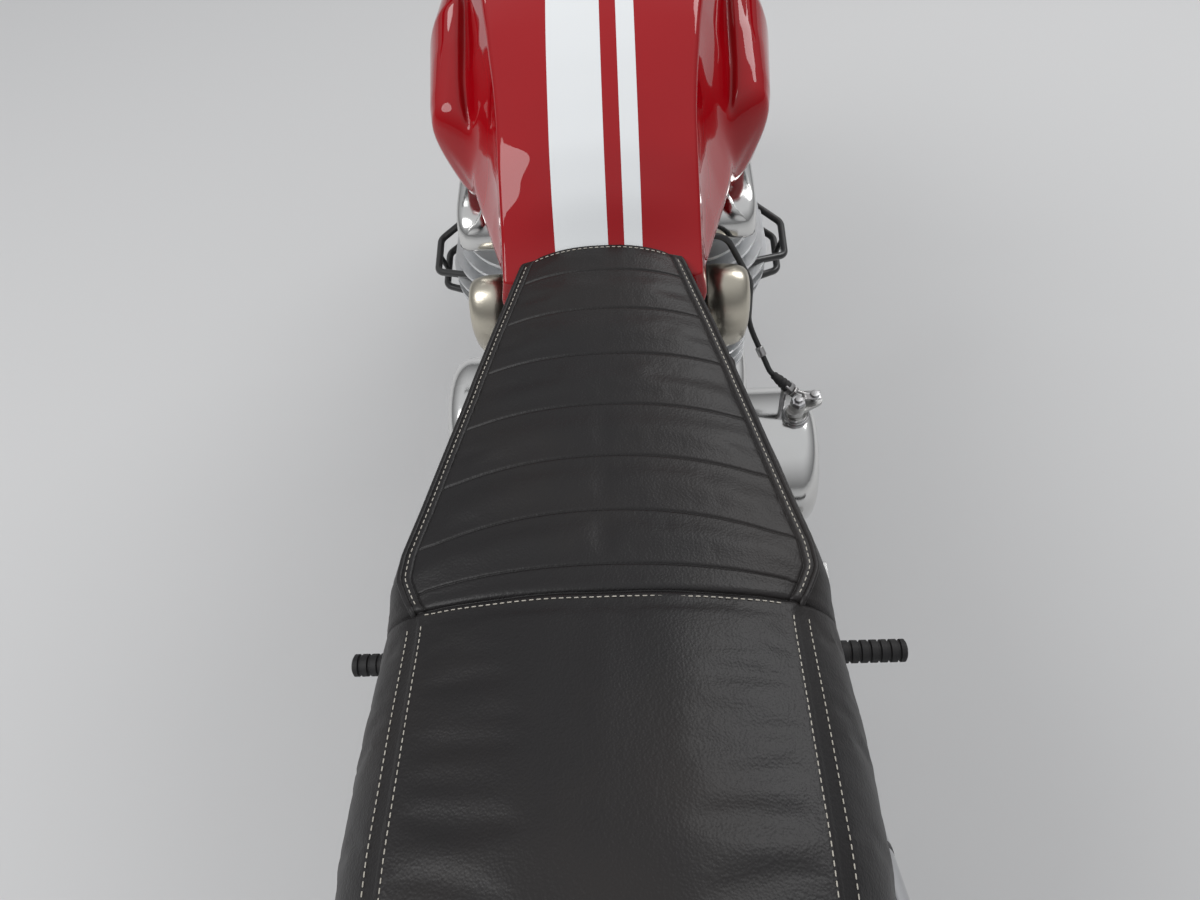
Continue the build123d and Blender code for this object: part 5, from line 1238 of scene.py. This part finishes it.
# Body, axle, tyre radius, half-width, half the bead seat's width, hub flange radius and half-spread
WHEELS = [
    ("front_wheel", (743, 0, 316), 316, 50, 31, 44, 30.5),
    ("rear_wheel", (-655, 0, 333), 318, 65, 41, 58, 38),
]
brass = finish(
    "nickelled_brass", (0.6, 0.55, 0.45), (0.4, 0.36, 0.28), 0.3, metal=1, share=0.5, patch=60, grain=900,
    relief=0.1, edge_radius=0,
)
for body, axle, tyre_r, half, bead, flange_r, spread_half in WHEELS:
    lip_r, lip, bead_in = FLANGE_R + 1, bead + RIM_WALL + 1, bead - 0.3
    seat_r, shoulder_r, shoulder = BEAD_SEAT_R + 0.4, tyre_r - 0.5 * half, 0.84 * half
    side_r = (lip_r + shoulder_r) / 2
    wall = arc_points((lip_r, lip), (side_r, half), (shoulder_r, shoulder), WALL_STEPS)
    crown = arc_points((shoulder_r, shoulder), (tyre_r, 0), (shoulder_r, -shoulder), CROWN_ARCS)
    far_wall = arc_points((shoulder_r, -shoulder), (side_r, -half), (lip_r, -lip), WALL_STEPS)
    section = [(seat_r, -bead_in), (seat_r, bead_in), (lip_r, bead_in)]
    section += [*wall, *crown, *far_wall, (lip_r, -lip), (lip_r, -bead_in)]
    rubber = tyre_rubber.copy()
    rubber.name = body + "_rubber"
    tree = rubber.node_tree
    cuts = new_node(tree, "Group", {"Axle": Vector(axle) / 1000, "Half Width": half / 1000}, node_tree=tread)
    grooves = new_node(tree, "Bump", {"Strength": 1, "Distance": 0.004})
    shader = tree.nodes["Principled BSDF"]
    clean = shader.inputs["Base Color"].links[0].from_socket
    rubbed = colour_mix(tree, maths(tree, "MULTIPLY", cuts.outputs["Rubbed"], RUBBED_SHARE), clean, RUBBED_GREY)
    join(
        tree,
        (cuts.outputs["Height"], grooves.inputs["Height"]),
        (shader.inputs["Normal"].links[0].from_socket, grooves.inputs["Normal"]),
        (grooves.outputs["Normal"], shader.inputs["Normal"]),
        (rubbed, shader.inputs["Base Color"]),
    )
    tyre_name = body.replace("wheel", "tyre")
    tyre = turned_piece(tyre_name + "_visible", section, axle, (0, 1, 0), rubber, steps=144, smooth=50)
    assembled(tyre.name, [tyre], body)
    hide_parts(tyre_name)
    shape, shape_faces = taken_from(primitive(cylinder, "nipple", vertices=6, radius=0.0033, depth=0.014))
    verts, faces = [], []
    for number in range(SPOKES):
        side = 1 if number % 2 == 0 else -1
        way = 1 if number % 4 < 2 else -1
        at_rim = radians(number * 360 / SPOKES)
        at_hub = radians(number * 360 / SPOKES + way * SPOKE_LEAN)
        rim_end = Vector((NIPPLE_R * cos(at_rim), side * NIPPLE_OUT, -NIPPLE_R * sin(at_rim)))
        hub_end = Vector((flange_r * cos(at_hub), side * spread_half + way * LAYER, -flange_r * sin(at_hub)))
        run = (hub_end - rim_end).normalized()
        place = (Vector(axle) + rim_end + run * NIPPLE_SUNK) / 1000
        turn = run.to_track_quat("Z", "Y").to_matrix()
        base = len(verts)
        verts += [turn @ Vector(point) + place for point in shape]
        faces += [tuple(base + k for k in face) for face in shape_faces]
    nipples = mesh_piece(body + "_nipples", verts, faces, brass)
    assembled(nipples.name, [nipples], body)


# The headlamp's lens is pressed glass with upright flutes, and the mirrors are silvered glass in steel rims.
# Indicator lenses are amber plastic and the tail lamp's is red, each clipped to a black moulded body.
def coat_faces(name, material, wanted):
    mesh = nodes[name].data
    mesh.materials.append(material)
    for face in mesh.polygons:
        if wanted(face.center * 1000):
            face.material_index = len(mesh.materials) - 1


FLUTE = 0.006
lens_glass = bpy.data.materials.new("lens_glass")
lens_glass.use_nodes = True
tree = lens_glass.node_tree
lens_shader = tree.nodes["Principled BSDF"]
lens_shader.inputs["Base Color"].default_value = (0.95, 0.97, 1, 1)
lens_shader.inputs["Transmission Weight"].default_value = 0.85
lens_shader.inputs["Roughness"].default_value = 0.03
flutes = new_node(tree, "Bump", {"Strength": 0.6, "Distance": 0.003})
across_lens = parts_of(tree, on_object(tree))["Y"]
ribs = maths(tree, "MULTIPLY", maths(tree, "PINGPONG", across_lens, FLUTE), 1 / FLUTE)
join(tree, (ribs, flutes.inputs["Height"]), (flutes.outputs["Normal"], lens_shader.inputs["Normal"]))
coat(lens_glass, "headlamp_lens")
amber_lens = finish("amber_lens", (0.8, 0.2, 0.008), (0.65, 0.16, 0.008), 0.12, share=0.3, Coat_Weight=1.0)
red_lens = finish("red_lens", (0.55, 0.008, 0.006), (0.45, 0.008, 0.006), 0.12, share=0.3, Coat_Weight=1.0)
silvering = finish(
    "silvering", (0.86, 0.88, 0.88), (0.8, 0.82, 0.82), 0.01, metal=1, share=0.1, spread=0, relief=0,
    edge_radius=0,
)
FRONT_LENS_X = 587
INDICATOR_Y = 100
REAR_LENS_DEPTH = 13.2
TAIL_LENS_DEPTH = 19.9
TAIL_LOW = 600
TAIL_HALF = 45
TAIL_FACING = Vector((-1, 0, 0.15)).normalized()
lamp_points = [vertex.co * 1000 for vertex in nodes["rear_lamps"].data.vertices]
rear_x = min(at.x for at in lamp_points if abs(at.y) > INDICATOR_Y)
tail_end = max(at.dot(TAIL_FACING) for at in lamp_points if at.z > TAIL_LOW + 20)
MIRROR_FACING = Vector((-1, 0, 0.06)).normalized()
MIRROR_AT = Vector((420, 318, 1075))
MIRROR_R = 48
MIRROR_DEPTH = 3.6


def on_tail_lens(at):
    return abs(at.y) < TAIL_HALF and at.z > TAIL_LOW and at.dot(TAIL_FACING) > tail_end - TAIL_LENS_DEPTH


def on_glass(at):
    offset = Vector((at.x, abs(at.y), at.z)) - MIRROR_AT
    return offset.dot(MIRROR_FACING) > -MIRROR_DEPTH and offset.length < MIRROR_R


coat_faces("front_indicators", amber_lens, lambda at: at.x > FRONT_LENS_X)
coat_faces("rear_lamps", amber_lens, lambda at: abs(at.y) > INDICATOR_Y and at.x < rear_x + REAR_LENS_DEPTH)
coat_faces("rear_lamps", red_lens, on_tail_lens)
coat_faces("mirrors", silvering, on_glass)

# Two black dials with printed rings of marks and numbers sit in chromed cups over the upper yoke. A red needle
# stands at nought under each glass.
DIAL_AT = Vector((512, 50, 975))
DIAL_FACING = Vector((-0.55, 0, 0.835)).normalized()
DIAL_RIGHT = Vector((0, -1, 0))
DIAL_TURN = Matrix((DIAL_RIGHT, DIAL_FACING.cross(DIAL_RIGHT), DIAL_FACING)).transposed()
FACE_R = 37.7
CUP_DEPTH = 9
GLASS_DEPTH = 3.2
MARKS_R = 35
FIGURES_R = 0.0255
SWEEP = radians(135)
PRINT_DROP = -0.2
FIGURE_SIZE = 0.0058
MAJOR_MARK, MINOR_MARK = (1.0, 5.5, 0.2), (0.6, 3.2, 0.2)
NEEDLE = (1.2, 34, 0.3)
# Side, highest number's place and what one place counts: speed on the left, engine turns on the right
DIALS = ((1, 10, 20), (-1, 8, 1))
dial_black = finish(
    "dial_black", (0.012, 0.012, 0.013), (0.02, 0.02, 0.02), 0.5, share=0.2, relief=0.02, Coat_Weight=0.1,
)
FLAT = {"share": 0.2, "relief": 0, "edge_radius": 0}
print_white = finish("print_white", (0.75, 0.75, 0.72), (0.7, 0.7, 0.66), 0.5, **FLAT)
needle_red = finish("needle_red", (0.6, 0.02, 0.01), (0.5, 0.02, 0.01), 0.4, **FLAT)


def from_dial(at):
    return (Vector((at.x, abs(at.y), at.z)) - DIAL_AT) @ DIAL_TURN


def printed_figure(words, angle):
    bpy.ops.object.select_all(action="DESELECT")
    bpy.ops.object.text_add(location=(0, 0, 0))
    letters = bpy.context.object.data
    letters.body = words
    letters.size = FIGURE_SIZE
    letters.extrude = 0.0001
    letters.align_x = letters.align_y = "CENTER"
    bpy.ops.object.convert(target="MESH")
    figure = bpy.context.object
    place = (-FIGURES_R * sin(angle), FIGURES_R * cos(angle), PRINT_DROP / 1000)
    figure.data.transform(Matrix.Translation(place))
    dress(figure, print_white)
    return figure


def on_cup(at):
    spot = from_dial(at)
    return spot.z > -CUP_DEPTH and spot.xy.length > FACE_R


def on_face(at):
    spot = from_dial(at)
    return spot.z > -GLASS_DEPTH and spot.xy.length < FACE_R


coat_faces("instruments", chrome, on_cup)
coat_faces("instruments", dial_black, on_face)
HUB = [(0, -1), (3.6, -1), (3.6, 0.5), (3, 1.1), (0, 1.1)]
for side, places, step in DIALS:
    printed = []
    for number in range(places * 2 + 1):
        angle = SWEEP - 2 * SWEEP * number / (places * 2)
        major = number % 2 == 0
        size = MAJOR_MARK if major else MINOR_MARK
        mark = rounded_box("mark", (0, MARKS_R - size[1] / 2, PRINT_DROP), size, 0.05, print_white)
        mark.data.transform(Matrix.Rotation(angle, 4, "Z"))
        printed.append(mark)
        if major:
            printed.append(printed_figure(str(number // 2 * step), angle))
    needle = rounded_box("needle", (0, 10, PRINT_DROP + 0.4), NEEDLE, 0.1, needle_red)
    needle.data.transform(Matrix.Rotation(SWEEP, 4, "Z"))
    hub = turned_piece("needle_hub", HUB, (0, 0, 0), UPWARD, black_plastic)
    centre = Vector((DIAL_AT.x, side * DIAL_AT.y, DIAL_AT.z)) / 1000
    for piece in (*printed, needle, hub):
        piece.data.transform(Matrix.Translation(centre) @ DIAL_TURN.to_4x4())
    assembled("dial_print", [*printed, needle, hub], "steering")

# Each silencer is rolled from chromed sheet in three shells, which meet in dark joint lines. A band clamp draws
# its front end tight on the pipe.
SILENCER_START = Vector((-120, 190, 245))
SILENCER_END = Vector((-770, 252, 440))
FIRST_JOINT = 296
LAST_JOINT = 62
JOINT_LINE = [(49.6, 0), (50.4, 0), (50.6, 3.5), (50.4, 7), (49.6, 7)]
BAND = [(24.4, 0), (28.6, 0), (28.8, 1), (28.8, 17), (28.6, 18), (24.4, 18)]
BOLT = [(0, -14), (3, -14), (3, 8), (5.6, 8), (6, 8.6), (6, 12), (5.4, 12.8), (0, 12.8)]
bands = []
for side in (1, -1):
    start, end = (Vector((at.x, side * at.y, at.z)) for at in (SILENCER_START, SILENCER_END))
    length = (end - start).length
    run = (end - start).normalized()
    for reach in (FIRST_JOINT, length - LAST_JOINT):
        bands.append(turned_piece("joint_line", JOINT_LINE, start + run * reach, run, black_casting, steps=64))
    bands.append(turned_piece("band_clamp", BAND, start + run * 2, run, ground_steel, steps=48))
    bolt_at, bolt_run = start + run * 11 + Vector((0, side * 22, -24)), run.cross(Vector(UPWARD))
    bands.append(turned_piece("clamp_bolt", BOLT, bolt_at, bolt_run, ground_steel, **HEXAGON))
assembled("silencer_bands", bands, "frame")

low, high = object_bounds()
